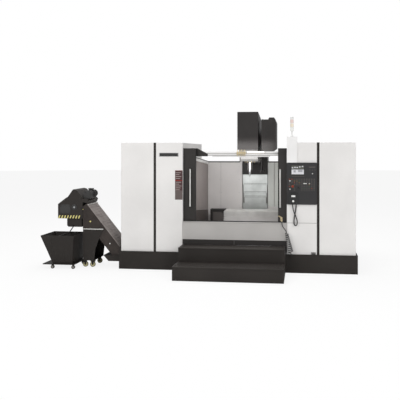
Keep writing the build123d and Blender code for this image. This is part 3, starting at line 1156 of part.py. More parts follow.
def chip_bin():
    """The tapered chip bin, welded from plate, with a lifting bar across it and its platform's castors."""
    y0, y1 = BIN_Y
    wall = 2 * SHEET
    body = tapered(BIN_FOOT_X, (y0 + 30, y1 - 60), BIN_Z[0], BIN_RIM_X, BIN_Y, BIN_Z[1], 0)
    body -= tapered(BIN_FOOT_X, (y0 + 30, y1 - 60), BIN_Z[0] + wall, BIN_RIM_X, BIN_Y, BIN_Z[1] + 1, wall)
    platform = rounded(block(PLATFORM_X, PLATFORM_Y, PLATFORM_Z), Axis.Z, 12)
    handle_x = BIN_RIM_X[0] + 330
    bar = block((handle_x - 9, handle_x + 9), (y0, y1), (BIN_Z[1] - 18, BIN_Z[1]))
    body += platform + bar
    for x in BIN_WHEEL_X:
        for y in BIN_WHEEL_Y:
            near, far = span(y, BIN_WHEEL_W)
            body += block(span(x, 26), (near - 5, near), (BIN_WHEEL_R - 8, PLATFORM_Z[0] + 1))
            body += block(span(x, 26), (far, far + 5), (BIN_WHEEL_R - 8, PLATFORM_Z[0] + 1))
            body += rod_y(BIN_WHEEL_R, x, (near, far), BIN_WHEEL_R)
    return body


def air_gun():
    """The brass air gun: a bent barrel, a grip with a trigger lever, and a hanging ring."""
    grip = rod_z(GUN_R, GUN_X, GUN_Y, (GUN_Z - 50, GUN_Z + 20))
    barrel = Pos(GUN_X, GUN_Y, GUN_Z + 14) * Rot(0, -62, 0) * Cylinder(9, 64, align=STANDING)
    lever = block((GUN_X - 26, GUN_X - 19), span(GUN_Y, 12), (GUN_Z - 40, GUN_Z + 14))
    link = block((GUN_X - 20, GUN_X), span(GUN_Y, 10), (GUN_Z - 8, GUN_Z + 4))
    return grip + barrel + lever + link


def cord_path(points):
    """Straight runs joined by tangent arcs, each as large as its two runs allow. Prints the radii."""
    corners = [Vector(*p) for p in points]
    radii = []
    for a, b, c in zip(corners, corners[1:], corners[2:]):
        turn = math.radians((b - a).get_angle(c - b))
        shorter = min((b - a).length, (c - b).length)
        radii.append(0.45 * shorter / math.tan(turn / 2))
    print("cord radii", [round(r, 1) for r in radii])
    return FilletPolyline(*corners, radius=radii)


def cord_tube(points, radius):
    """A plain tube along a cord's route."""
    path = cord_path(points)
    start = Plane(origin=path @ 0, z_dir=path % 0)
    tube = sweep(start * Circle(radius), path=path)
    print("cord volume ratio", round(tube.volume / (math.pi * radius**2 * path.length), 4))
    return tube


def air_hose_coil():
    """The outer shape of the curly hose, wider towards its lower end."""
    top, foot = Vector(*COIL_TOP), Vector(*COIL_FOOT)
    length = (foot - top).length
    plane = Plane(origin=COIL_TOP, z_dir=foot - top)
    return plane * Cone(COIL_R[0], COIL_R[1], length, align=STANDING)


def parts_by_node():
    """Every node of the machine, at rest, in the machine's own axes."""
    left_frame, left_window_x, left_window_z = door(DOOR_EDGE_X[0], 1)
    right_frame, right_window_x, right_window_z = door(DOOR_EDGE_X[1], -1)
    parts = {
        "base_casting": base_casting(),
        "levelling_feet": levelling_feet(),
        "column": column(),
        "plinth_frame": plinth_frame() + rod_y(14, HOSE_PORT[0], (-50, -PLINTH_PROUD), HOSE_PORT[1]),
        "left_housing": left_housing(),
        "right_housing": right_housing(),
        "front_apron": front_apron() + gun_hook(),
        "step_platform": step_platform(),
        "door_beam": door_beam(),
        "splash_guard": splash_guard(),
        "rear_way_cover": rear_way_cover(),
        "operator_panel": operator_panel(),
        "display_screen": display_screen(),
        "panel_keys": panel_keys(),
        "pendant": pendant(),
        "junction_box": junction_box(),
        "signal_tower": signal_tower(),
        "electrical_cabinet": electrical_cabinet(),
        "magazine_cover": magazine_cover(),
        "magazine_frame": magazine_frame(),
        "conveyor_trough": conveyor_trough(),
        "conveyor_cover": conveyor_cover(),
        "conveyor_head": conveyor_head(),
        "conveyor_motor": conveyor_motor(),
        "conveyor_stand": conveyor_stand(),
        "conveyor_belt": conveyor_belt(),
        "coolant_tank": coolant_tank(),
        "chip_bin": chip_bin(),
        "air_gun": air_gun(),
        "saddle": saddle(),
        "x_motor_cover": x_motor_cover(),
        "table": table(),
        "x_ballscrew": x_ballscrew(),
        "y_ballscrew": y_ballscrew(),
        "z_ballscrew": z_ballscrew(),
        "spindle_head": spindle_head(),
        "spindle_motor": spindle_motor(),
        "head_cover": head_cover(),
        "head_apron": head_apron(),
        "spindle_shaft": spindle_shaft(),
        "tool_holder": tool_holder(),
        "left_door": left_frame,
        "left_window": door_glass(left_window_x, left_window_z),
        "left_handle": handle(DOOR_EDGE_X[0] - HANDLE_INSET[0]),
        "right_door": right_frame,
        "right_window": door_glass(right_window_x, right_window_z),
        "right_handle": handle(DOOR_EDGE_X[1] + HANDLE_INSET[1]),
        "tool_disc": tool_disc(),
        "change_arm": change_arm(),
        "conveyor_shaft": conveyor_shaft(),
        "pendant_wheel": pendant_wheel(),
        "emergency_stop": push_button(STOP_XZ, STOP_R, 14),
        "feed_knob": feed_knob(),
        "cabinet_door": cabinet_door(),
    }
    for index in range(len(PLATE_LIPS)):
        parts[f"z_way_cover_{index + 1}"] = way_plate(index)
    return parts


def cords_by_node():
    """The curly air hose and the pendant's cable."""
    leads = Compound(children=[cord_tube(HOSE_LEAD, HOSE_R), cord_tube(HOSE_TAIL, HOSE_R)])
    return {
        "air_hose": leads,
        "air_hose_coil": air_hose_coil(),
        "pendant_cable": cord_tube(CABLE_ROUTE, CABLE_R),
    }


def base_origin(parts):
    """The place that puts the origin under the middle of the whole, on the floor, without its cords."""
    low, high = Vector(1e9, 1e9, 1e9), Vector(-1e9, -1e9, -1e9)
    for shape in parts.values():
        box = shape.bounding_box()
        low = Vector(min(low.X, box.min.X), min(low.Y, box.min.Y), min(low.Z, box.min.Z))
        high = Vector(max(high.X, box.max.X), max(high.Y, box.max.Y), max(high.Z, box.max.Z))
    return Location((-(low.X + high.X) / 2, -(low.Y + high.Y) / 2, -low.Z))


os.makedirs("parts", exist_ok=True)
rigid = parts_by_node()
home = base_origin(rigid)
print("origin shift", home.position)
for name, shape in {**rigid, **cords_by_node()}.items():
    export_step(home * shape, f"parts/{name}.step")
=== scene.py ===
# %% [markdown]
# A vertical machining centre in its sheet-metal enclosure, dressed for a picture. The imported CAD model
# comes first and is never moved: it is the frame that every other piece is fitted to.

# %% Load the frame
import bmesh
import bpy
import math
from mathutils import Euler, Matrix, Vector


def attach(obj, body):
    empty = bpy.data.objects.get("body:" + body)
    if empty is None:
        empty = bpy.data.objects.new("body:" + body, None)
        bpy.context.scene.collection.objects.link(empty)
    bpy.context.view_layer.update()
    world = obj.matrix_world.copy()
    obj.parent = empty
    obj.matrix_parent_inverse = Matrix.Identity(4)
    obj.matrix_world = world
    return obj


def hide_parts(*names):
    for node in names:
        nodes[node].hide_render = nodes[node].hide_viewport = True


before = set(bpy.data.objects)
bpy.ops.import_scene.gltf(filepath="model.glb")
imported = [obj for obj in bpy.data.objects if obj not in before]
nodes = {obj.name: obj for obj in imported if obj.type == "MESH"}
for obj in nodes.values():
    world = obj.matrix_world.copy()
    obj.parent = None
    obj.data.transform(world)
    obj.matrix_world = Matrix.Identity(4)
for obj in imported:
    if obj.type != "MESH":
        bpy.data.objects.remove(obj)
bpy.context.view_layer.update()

# %% [markdown]
# Places are given in the machine's own millimetres: X to the right of the middle of the enclosure, Y back
# from the front of the housings, Z up from the floor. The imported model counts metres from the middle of
# the whole, and one small function goes from the first to the second.

# %% Places
SHIFT = Vector((0.698, -0.776, 0.0))


def at(x, y, z):
    """A place in the machine's millimetres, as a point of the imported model."""
    return Vector((x, y, z)) / 1000 + SHIFT


def new_object(name, data):
    """A new object, linked into the scene."""
    made = bpy.data.objects.new(name, data)
    bpy.context.collection.objects.link(made)
    return made


# %% [markdown]
# Every finish is made of a few nodes. One function adds a node, sets what is written beside it and makes
# its links. Colours are written in hex, which is sRGB, so another turns them to linear values.

# %% Node and colour helpers
def colour(code):
    """A hex colour from sRGB to linear, with an alpha of 1."""
    parts = [int(code[i:i + 2], 16) / 255 for i in (1, 3, 5)]
    return [c / 12.92 if c <= 0.04045 else ((c + 0.055) / 1.055) ** 2.4 for c in parts] + [1]


def node(tree, kind, links=(), **settings):
    """Adds a node. A setting named for a socket fills it, any other is a property of the node."""
    made = tree.nodes.new("ShaderNode" + kind)
    for name, value in settings.items():
        socket = name.replace("_", " ")
        if socket in made.inputs and not hasattr(made, name):
            made.inputs[socket].default_value = value
        else:
            setattr(made, name, value)
    for name, source in dict(links).items():
        tree.links.new(source, made.inputs[name])
    return made


def finish(name, **shader):
    """A new material with its shader's own sockets set. Returns the material, its tree and its shader."""
    material = bpy.data.materials.new(name)
    material.use_nodes = True
    tree = material.node_tree
    base = tree.nodes["Principled BSDF"]
    for key, value in shader.items():
        socket = key.replace("_", " ")
        base.inputs[socket].default_value = colour(value) if isinstance(value, str) else value
    return material, tree, base


def mottle(tree, base, dark, light, size_mm, low=0.35, high=0.65, detail=4.0):
    """Lets the shader's colour wander between two near shades in patches of a size."""
    place = node(tree, "TexCoord")
    noise = node(tree, "TexNoise", {"Vector": place.outputs["Object"]}, Scale=1000 / size_mm, Detail=detail)
    ramp = node(tree, "ValToRGB", {"Fac": noise.outputs["Fac"]})
    for stop, position, shade in zip(ramp.color_ramp.elements, (low, high), (dark, light)):
        stop.position = position
        stop.color = colour(shade)
    tree.links.new(ramp.outputs["Color"], base.inputs["Base Color"])


def grain(tree, base, size_mm, depth_mm, rough=None, stretch=(1, 1, 1)):
    """Adds a fine relief of a size and a depth, and lets the gloss wander with it."""
    place = node(tree, "TexCoord")
    turn = node(tree, "Mapping", {"Vector": place.outputs["Object"]}, Scale=stretch)
    noise = node(tree, "TexNoise", {"Vector": turn.outputs["Vector"]}, Scale=1000 / size_mm, Detail=3.0)
    bump = node(tree, "Bump", {"Height": noise.outputs["Fac"]}, Strength=1.0, Distance=depth_mm / 1000)
    tree.links.new(bump.outputs["Normal"], base.inputs["Normal"])
    if rough:
        spread = node(tree, "MapRange", {"Value": noise.outputs["Fac"]}, To_Min=rough[0], To_Max=rough[1])
        tree.links.new(spread.outputs["Result"], base.inputs["Roughness"])


# %% [markdown]
# Powder coat is a polyester paint, sprayed on dry and baked. On large sheets it has a faint orange-peel
# relief a few millimetres across, a soft gloss, and a shade that wanders very little.

# %% Powder coats
def paint(name, dark, light, rough=(0.34, 0.46), shine=1.5, patches=(900,), skin=(9, 0.16)):
    """A paint between two near shades, over a skin whose relief has a size and a depth."""
    material, tree, base = finish(name, IOR=shine)
    mottle(tree, base, dark, light, *patches)
    grain(tree, base, *skin, rough)
    return material


WHITE_COAT = paint("white_powder_coat", "#DCDAD8", "#E6E4E2")
APRON_COAT = paint("pale_grey_powder_coat", "#ADAAA7", "#B9B6B3", rough=(0.26, 0.38))
BLACK_COAT = paint("black_powder_coat", "#26221F", "#2D2926", rough=(0.46, 0.6), shine=1.33)
CHARCOAL_COAT = paint("charcoal_powder_coat", "#2B2927", "#343130", rough=(0.42, 0.56), shine=1.33)
INTERIOR_COAT = paint("interior_grey_coat", "#CFCBC9", "#DAD6D4", rough=(0.38, 0.5))
# A taupe coat for the tub's side sheets, which paint the walls' shade.
SHADE_LINING_COAT = paint("taupe_painted_shade_coat", "#7F7673", "#8B8380", rough=(0.4, 0.55))
PANEL_COAT = paint("pale_green_grey_coat", "#CFD1CC", "#D9DBD6", rough=(0.3, 0.42))
TREAD_COAT = paint("worn_tread_coat", "#3A3532", "#4A4541", rough=(0.4, 0.6), shine=1.33)
GUARD_COAT = paint("brown_black_guard_coat", "#433F3D", "#4F4A48", rough=(0.4, 0.55), shine=1.33)
CABINET_COAT = paint("cabinet_grey_coat", "#BDBBB9", "#C6C4C2")
DUCT_COAT = paint("white_duct_coat", "#E2E1E0", "#ECEBEA")

# %% [markdown]
# Bare metals. The sliding covers are cold-rolled sheet, brushed along their width, so the light spreads
# up and down on them. The table is ground cast iron, dull with oil, and the spindle's nose is polished and
# plated. The castings are painted over a sand-cast skin.

# %% Metals
def metal(name, shade, other, rough, brush_mm=1.2, relief_mm=0.01, stretch=(1, 1, 1)):
    material, tree, base = finish(name, Metallic=1.0)
    mottle(tree, base, shade, other, 160)
    grain(tree, base, brush_mm, relief_mm, rough, stretch)
    return material


COVER_STEEL = metal("brushed_cover_sheet", "#BEC1BF", "#CFD2D0", (0.3, 0.42), 3, 0.02, (0.05, 1, 1))
GROUND_IRON = metal("ground_cast_iron", "#C4C2BF", "#D2D0CD", (0.45, 0.6), 2, 0.012, (0.1, 1, 1))
BRIGHT_STEEL = metal("turned_steel", "#A9A9AB", "#BDBDBF", (0.24, 0.36))
PLATED_STEEL = metal("chrome_plated_steel", "#D5D6D8", "#E3E4E6", (0.08, 0.14), 4, 0.002)
# A darker steel for the way covers' lip strips, which paints the shade under each lip.
LIP_SHADE_STEEL = metal("hemmed_lip_shade_steel", "#8E918F", "#9DA09E", (0.34, 0.46), 3, 0.02, (0.05, 1, 1))
GREASED_STEEL = metal("greased_screw_steel", "#3C3A37", "#4B4845", (0.4, 0.55))
OXIDE_STEEL = metal("black_oxide_steel", "#2E2D2D", "#3A3938", (0.36, 0.5))
BRASS = metal("brass_fitting", "#D6C196", "#EADDBC", (0.24, 0.36), 2, 0.01)
SATIN_ALUMINIUM = metal("satin_aluminium_bar", "#DAD9D6", "#E8E7E4", (0.28, 0.38), 2, 0.01, (1, 1, 0.05))
CAST = {"rough": (0.48, 0.62), "patches": (220,), "skin": (5, 0.35)}
GREY_CASTING = paint("painted_grey_casting", "#8B8A88", "#9A9896", **CAST)
PALE_CASTING = paint("pale_grey_casting", "#A9A6A4", "#B6B3B1", **CAST)
DARK_CASTING = paint("painted_black_casting", "#232323", "#2E2D2C", **CAST)

# %% [markdown]
# The conveyor has stood in coolant and chips. Its cover is a taupe paint gone cloudy and its trough is a
# dark brown one. One noise makes the clouds, and its fine detail breaks their edges.

# %% Worn conveyor paint
WORN = {"rough": (0.4, 0.6), "patches": (140, 0.3, 0.7, 6.0), "skin": (12, 0.3)}
CONVEYOR_COAT = paint("worn_taupe_paint", "#746B68", "#938B87", **WORN)
TROUGH_COAT = paint("worn_brown_paint", "#2C2623", "#3A332F", shine=1.33, **WORN)

# %% [markdown]
# Plastics and glass. The keys, the lamp and the pendant are injection-moulded: an even colour with a
# fine spark-eroded texture. Rubber seals and hoses are made the same way, only duller. The door panes are
# polycarbonate, thin and slightly grey.

# %% Plastics and glass
def moulded(name, code, rough=0.42, texture_mm=0.9):
    material, tree, base = finish(name, Base_Color=code, IOR=1.48)
    grain(tree, base, texture_mm, 0.02, (rough - 0.05, rough + 0.06))
    return material


BLACK_PLASTIC = moulded("black_moulded_plastic", "#232323", 0.4)
KEY_PLASTIC = moulded("dark_key_plastic", "#4B4744")
WHITE_PLASTIC = moulded("white_moulded_plastic", "#DDDDDB")
RED_PLASTIC = moulded("red_moulded_plastic", "#86261E", 0.28)
MAROON_PLASTIC = moulded("maroon_notice_sheet", "#44292A", 0.4)
NOTICE_GREY = moulded("pale_notice_bars", "#A89C98", 0.4)
TAUPE_PLASTIC = moulded("taupe_notice_foot", "#5C514E", 0.4)
KEY_RED = moulded("dull_red_key_plastic", "#6E3D33", 0.4)
KEY_AMBER = moulded("dull_amber_key_plastic", "#66523A", 0.4)
KEY_GREEN = moulded("dull_green_key_plastic", "#3F4D42", 0.4)
BLACK_RUBBER = moulded("black_door_rubber", "#1C1C1C", 0.6)
# A dark brown for the sheets at the tub walls' feet, which are painted shade.
FOOT_SHADE_SHEET = moulded("brown_painted_shade_sheet", "#4A4340", 0.5)
HAZARD_YELLOW = moulded("pale_yellow_marking", "#CFC57C", 0.5)
WHEEL_GREY = moulded("grey_nylon_wheel", "#96928B", 0.45)
SEAL_GREY = moulded("grey_joint_seal", "#A19F9C", 0.6)
SCREEN_DARK = moulded("unlit_display_area", "#55564F", 0.3)
SCREEN_GREY = moulded("half_lit_display_area", "#9C9CA2", 0.3)
SCREEN_PALE = moulded("lit_display_area", "#D2D2D6", 0.3)
OCHRE_PLASTIC = moulded("ochre_moulded_plastic", "#6E4F2A", 0.35)
PANEL_PLASTIC = moulded("dark_panel_face", "#2A292A", 0.34)
HOSE_RUBBER = moulded("black_polyurethane_hose", "#161617", 0.4)
CABLE_RUBBER = moulded("black_cable_jacket", "#131314", 0.6)
WHEEL_PLASTIC = moulded("yellow_nylon_wheel", "#B5AE85", 0.45)
LAMP_CLEAR = moulded("frosted_lamp_lens", "#E6E6E2", 0.2)
LAMP_AMBER = moulded("amber_lamp_lens", "#E2D6C2", 0.2)
LAMP_RED = moulded("pale_red_lamp_lens", "#DDC6C0", 0.2)
PANE, tree, base = finish("polycarbonate_pane", Base_Color="#8E9291", Roughness=0.06, IOR=1.58, Alpha=0.34)
grain(tree, base, 60, 0.02)
SCREEN_GLASS, tree, base = finish("dark_display_glass", Roughness=0.08, IOR=1.5)
mottle(tree, base, "#141A22", "#1D2530", 60)
grain(tree, base, 40, 0.01)
WORK_LAMP, tree, base = finish(
    "work_lamp_diffuser", Base_Color="#FFFFFF", Emission_Color="#FFF6E6", Emission_Strength=1.1
)
grain(tree, base, 3, 0.02)

# %% [markdown]
# A CAD node whose shape is right only needs its finish: its material slot is filled, and the mesh is left
# as it is.

# %% Finishes for the CAD nodes
WORN_BY = {
    WHITE_COAT: "left_housing right_housing",
    DUCT_COAT: "door_beam junction_box",
    APRON_COAT: "front_apron",
    BLACK_COAT: "plinth_frame step_platform conveyor_head chip_bin coolant_tank conveyor_stand",
    CHARCOAL_COAT: "left_door right_door head_cover head_apron magazine_cover x_motor_cover",
    PANEL_PLASTIC: "operator_panel",
    INTERIOR_COAT: "splash_guard",
    CABINET_COAT: "electrical_cabinet cabinet_door",
    COVER_STEEL: "rear_way_cover z_way_cover_1 z_way_cover_2 z_way_cover_3",
    CONVEYOR_COAT: "conveyor_cover",
    TROUGH_COAT: "conveyor_trough",
    GREY_CASTING: "base_casting column saddle spindle_head magazine_frame",
    DARK_CASTING: "spindle_motor conveyor_motor",
    GROUND_IRON: "table",
    BRIGHT_STEEL: "tool_disc conveyor_shaft conveyor_belt levelling_feet",
    GREASED_STEEL: "x_ballscrew y_ballscrew z_ballscrew",
    OXIDE_STEEL: "change_arm",
    PLATED_STEEL: "spindle_shaft tool_holder",
    PANE: "left_window right_window",
    SATIN_ALUMINIUM: "left_handle right_handle",
    KEY_PLASTIC: "panel_keys",
    BLACK_PLASTIC: "pendant pendant_wheel feed_knob",
    SCREEN_GLASS: "display_screen",
    WHITE_PLASTIC: "signal_tower",
    RED_PLASTIC: "emergency_stop",
    BRASS: "air_gun",
}
for material, names in WORN_BY.items():
    for name in names.split():
        slots = nodes[name].data.materials
        slots.clear()
        slots.append(material)

# %% [markdown]
# The air gun's curly hose and the pendant's cable are held at both ends. Each is one NURBS curve with a
# round bevel. Its control points are the route of the CAD tube, and the curly part is a helix inside the
# CAD cone. The hose is polyurethane tube of 13 mm, and its turns open by their own weight towards the foot.

# %% Curves for the cords
def cord_curve(name, points, radius, material):
    """A smooth tube along a route in machine millimetres, as a curve that rides the frame."""
    curve = bpy.data.curves.new(name, "CURVE")
    curve.dimensions = "3D"
    curve.bevel_depth = radius / 1000
    curve.bevel_resolution = 2
    curve.use_fill_caps = True
    spline = curve.splines.new("NURBS")
    spline.points.add(len(points) - 1)
    for point, place in zip(spline.points, points):
        point.co = (*at(*place), 1)
    spline.order_u = 3
    spline.use_endpoint_u = True
    spline.resolution_u = 3
    curve.materials.append(material)
    cord = new_object(name, curve)
    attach(cord, "frame")
    return cord


HOSE_LEAD = [(800, -46, 880), (800, -46, 850), (808, -52, 806), (836, -66, 766), (873.5, -80, 721.3),
             (880, -80, 692)]
HOSE_TAIL = [(956, -80, 350), (961, -80, 327.5), (959, -78, 305), (957, -66, 298), (957, -50, 298)]
HOSE_R, CABLE_R = 6.5, 9
TURNS, TURN_POINTS = 11, 12
COIL_R, COIL_SPREAD = 25, 20

# %% The curly hose
top, foot = Vector(HOSE_LEAD[-1]), Vector(HOSE_TAIL[0])
down = (foot - top).normalized()
side = down.cross(Vector((0, 1, 0))).normalized()
front = down.cross(side)
coil = []
for step in range(6, TURNS * TURN_POINTS - 5):
    share = step / (TURNS * TURN_POINTS)
    turn = 2 * math.pi * step / TURN_POINTS
    reach = COIL_R + COIL_SPREAD * share
    spot = top.lerp(foot, share) + side * (reach * math.cos(turn)) + front * (reach * math.sin(turn))
    coil.append(tuple(spot))
air_hose = cord_curve("curly_air_hose", HOSE_LEAD + coil + HOSE_TAIL, HOSE_R, HOSE_RUBBER)
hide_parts("air_hose", "air_hose_coil")

# %% The pendant's cable
CABLE_ROUTE = [
    (1045, -12.5, 1170), (1045, -12.5, 1110), (1018, -18, 985), (1003, -24, 885), (1010, -34, 815),
    (1056, -46, 812), (1066, -52, 885), (1040, -58, 970), (985, -48, 1090), (985, -48, 1168.9),
]
cable = cord_curve("pendant_lead", CABLE_ROUTE, CABLE_R, CABLE_RUBBER)
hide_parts("pendant_cable")

# %% [markdown]
# The finished pieces are added one group at a time. Each is a bmesh, in the machine's own millimetres, of
# the shapes that a workshop would start with: a bar with its edges broken, a turned round, a plain drum,
# a ring, a plain box and a screw's head.

# %% Shapes
def soften(shape, edges, edge, segments=2):
    """Bevels some edges."""
    bmesh.ops.bevel(shape, geom=edges, offset=edge / 1000, segments=segments, profile=0.5, affect="EDGES",
                    material=-1)


def thicken(shape, faces, step):
    """Extrudes faces by a step and returns the moved points."""
    grown = bmesh.ops.extrude_face_region(shape, geom=faces)["geom"]
    moved = [v for v in grown if isinstance(v, bmesh.types.BMVert)]
    bmesh.ops.translate(shape, vec=step, verts=moved)
    return moved


def bar(shape, x, y, z, edge=1.0, segments=2):
    """A block between the limits on each axis, with all its edges bevelled."""
    made = bmesh.ops.create_cube(shape, size=1)["verts"]
    size = Vector([high - low for low, high in (x, y, z)]) / 1000
    middle = at(*[(low + high) / 2 for low, high in (x, y, z)])
    bmesh.ops.scale(shape, vec=size, verts=made)
    bmesh.ops.translate(shape, vec=middle, verts=made)
    soften(shape, list({e for v in made for e in v.link_edges}), edge, segments)


def plain_box(shape, size, place, angle, axis):
    """A box of six faces, turned by an angle about one of the axes."""
    made = bmesh.ops.create_cube(shape, size=1)["verts"]
    bmesh.ops.scale(shape, vec=Vector(size) / 1000, verts=made)
    bmesh.ops.rotate(shape, cent=(0, 0, 0), matrix=Matrix.Rotation(angle, 3, axis), verts=made)
    bmesh.ops.translate(shape, vec=at(*place), verts=made)


def turned(shape, profile, place, axis, steps=32):
    """A round turned from its profile of (radius, distance) points, about an axis through a place."""
    across = axis.orthogonal().normalized()
    points = [at(*place) + (across * r + axis * d) / 1000 for r, d in profile]
    verts = [shape.verts.new(p) for p in points]
    edges = [shape.edges.new(pair) for pair in zip(verts, verts[1:])]
    bmesh.ops.spin(shape, geom=verts + edges, cent=at(*place), axis=axis, angle=2 * math.pi,
                   steps=steps, use_merge=True)


def drum(shape, radius, length, place, axis, edge=1.0, steps=32):
    """A plain round from a place along an axis, with its two rims broken."""
    profile = [(0, 0), (radius - edge, 0), (radius, edge), (radius, length - edge), (radius - edge, length),
               (0, length)]
    turned(shape, profile, place, axis, steps)


def ring(shape, radius, tube, place, axis, steps=32):
    """A round ring: a small circle spun about an axis."""
    profile = [(radius + tube * math.cos(2 * math.pi * i / 10), tube * math.sin(2 * math.pi * i / 10))
               for i in range(11)]
    turned(shape, profile, place, axis, steps)


def screw_head(shape, place, axis, radius=5.0, height=3.0):
    """A low socket-head screw: a turned head with a recess in it."""
    turned(shape, [(0, height * 0.4), (radius * 0.5, height * 0.4), (radius * 0.5, height),
                   (radius * 0.85, height), (radius, height * 0.7), (radius, 0)], place, axis, 16)


X_AXIS, Y_AXIS, Z_AXIS = Vector((1, 0, 0)), Vector((0, 1, 0)), Vector((0, 0, 1))
FRONT = -Y_AXIS


def piece(name, shape, materials, body="frame"):
    """Closes a bmesh into a named object that rides a body and wears a slot."""
    bmesh.ops.remove_doubles(shape, verts=shape.verts, dist=1e-6)
    bmesh.ops.recalc_face_normals(shape, faces=shape.faces)
    mesh = bpy.data.meshes.new(name)
    shape.to_mesh(mesh)
    shape.free()
    for material in materials if isinstance(materials, (list, tuple)) else [materials]:
        mesh.materials.append(material)
    made = new_object(name, mesh)
    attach(made, body)


def painted(shape, number, make, *args):
    """Runs a shape function and gives the faces that it made a material number."""
    before = set(shape.faces)
    make(shape, *args)
    for face in shape.faces:
        if face not in before:
            face.material_index = number


def screws(shape, number, places, axis, radius=5.0, height=3.0):
    """A screw head at each of some places, all facing one way, with a material number."""
    for place in places:
        painted(shape, number, screw_head, place, axis, radius, height)


def circle(middle, reach, count, start=0.0, step=None):
    """Points (a, b) round a middle at even steps of angle, in radians."""
    turn = 2 * math.pi / count if step is None else step
    return [(middle[0] + reach * math.cos(start + turn * i), middle[1] + reach * math.sin(start + turn * i))
            for i in range(count)]


# %% [markdown]
# Under the doors is a dark kick plate, screwed over the foot of the pale apron where boots and pallets hit
# it. It is two lengths of sheet that meet at the apron's seam. Above it the apron's top edge carries a
# rubber wiper for the doors.

# %% Kick plate and door wiper
APRON_X = (-934, 883)
kick = bmesh.new()
seam = sum(APRON_X) / 2
for low, high in ((APRON_X[0], seam - 1.5), (seam + 1.5, APRON_X[1])):
    bar(kick, (low, high), (-23.5, -20.1), (456, 545), 1.2)
    places = [(x, -23.4, z) for x in (low + 30, (low + high) / 2, high - 30) for z in (474, 528)]
    screws(kick, 0, places, FRONT)
piece("kick_plate", kick, CHARCOAL_COAT)

wiper = bmesh.new()
bar(wiper, (APRON_X[0] + 4, APRON_X[1] - 4), (42, 51), (850.5, 868), 2.5)
piece("door_wiper", wiper, BLACK_RUBBER)

# %% [markdown]
# The left front carries a name plate, black anodised with a raised rim and left bare, and a tall notice
# plate. The notice is fields of colour only: a maroon ground, pale bars where lines would stand, one red
# band and a plain taupe foot.

# %% Name plate and notice plate
RAISED = (-3.6, -2.9)
sign = bmesh.new()
bar(sign, (-1355, -1012), (-3, -0.1), (1988, 2055), 1.2)
for x, z in (((-1352, -1015), (1990, 1993)), ((-1352, -1015), (2050, 2053)),
             ((-1352, -1349), (1993, 2050)), ((-1018, -1015), (1993, 2050))):
    painted(sign, 1, bar, x, RAISED, z, 0.3)
piece("name_plate", sign, (BLACK_PLASTIC, SATIN_ALUMINIUM))

notice = bmesh.new()
bar(notice, (-1071, -936.5), (-2.4, -0.1), (1232, 1746), 1.0)
fields = [(1, (-1068, -939), (1560, 1578)), (3, (-1068, -939), (1235, 1394)),
          (1, (-1071, -937), (1740, 1746))]
for row, width in enumerate((96, 70, 104, 82, 100, 64, 108, 88, 74)):
    z = 1700 - row * 33 - (34 if row > 3 else 0)
    fields.append((2, (-1062, -1062 + width), (z, z + 9)))
for number, x, z in fields:
    painted(notice, number, bar, x, (-3.0, -2.3), z, 0.3)
piece("notice_plate", notice, (MAROON_PLASTIC, RED_PLASTIC, NOTICE_GREY, TAUPE_PLASTIC))

# %% [markdown]
# The upper beam is folded from lengths of sheet, and two grey sealing strips close the joints.

# %% Beam joint seals
lines = bmesh.new()
for z in (2012, 2042):
    bar(lines, (-738, 880), (145.5, 149.9), (z - 5, z + 5), 1.5)
piece("beam_joint_seals", lines, SEAL_GREY)

# %% [markdown]
# Each door's pane sits in an extruded rubber gasket, rounded at the corners, with a lip on each face of
# the door. A seal strip closes the doors' meeting edges and two hangers carry each door.

# %% Door gaskets, edge seals and hangers
SHARP = 1.2


def frame_strip(shape, x, z, y, corner, width, edge=1.2):
    """A flat strip that runs round a rounded rectangle in the XZ plane, with its rims bevelled."""
    right, left, top, bottom = x[1] - corner, x[0] + corner, z[1] - corner, z[0] + corner
    loops = []
    for reach in (corner, corner + width):
        points = []
        for quarter, middle in enumerate(((right, top), (left, top), (left, bottom), (right, bottom))):
            points += circle(middle, reach, 7, quarter * math.pi / 2, math.radians(15))
        verts = [shape.verts.new(at(a, y[0], b)) for a, b in points]
        loops += [shape.edges.new(pair) for pair in zip(verts, verts[1:] + verts[:1])]
    thicken(shape, bmesh.ops.bridge_loops(shape, edges=loops)["faces"], Y_AXIS * (y[1] - y[0]) / 1000)
    rims = [e for e in shape.edges if len(e.link_faces) == 2 and e.calc_face_angle(0) > SHARP]
    soften(shape, rims, edge)


for name, window_x, seal_x in (("left", (-1534, -924), (-713.9, -711.5)),
                               ("right", (943, 1553), (730.5, 732.9))):
    door = name + "_door"
    gasket = bmesh.new()
    for y in ((58.2, 60), (105, 106.8)):
        frame_strip(gasket, (window_x[0] + 8, window_x[1] - 8), (1048, 1977), y, 32, 20, 0.8)
    piece(name + "_window_gasket", gasket, BLACK_RUBBER, door)
    seal = bmesh.new()
    bar(seal, seal_x, (66, 99), (860, 2128), 1.0)
    piece(name + "_edge_seal", seal, BLACK_RUBBER, door)
    hanger = bmesh.new()
    for place in (0.2, 0.8):
        x = window_x[0] - 60 + place * 730
        bar(hanger, (x - 45, x + 45), (105.2, 109), (2075, 2128), 1.5)
        screws(hanger, 0, [(x - 28, 108.8, 2092), (x + 28, 108.8, 2092)], Y_AXIS, 7, 4)
        drum(hanger, 17, 16, (x, 109, 2116), Y_AXIS, 2)
    piece(door + "_hangers", hanger, BRIGHT_STEEL, door)

# %% [markdown]
# The screen is sunk in the panel behind a square black bezel. What a running control shows is left out:
# the display is plain lit areas. The keys are caps of dull coloured plastic, and the big buttons have a
# turned collar each: ochre for the stop, black for the others.

# %% Screen bezel, lit areas and coloured keys
bezel = bmesh.new()
frame_strip(bezel, (962, 1178), (1682, 1840), (-26.6, -25.05), 5, 13, 0.6)
piece("screen_bezel", bezel, BLACK_PLASTIC)

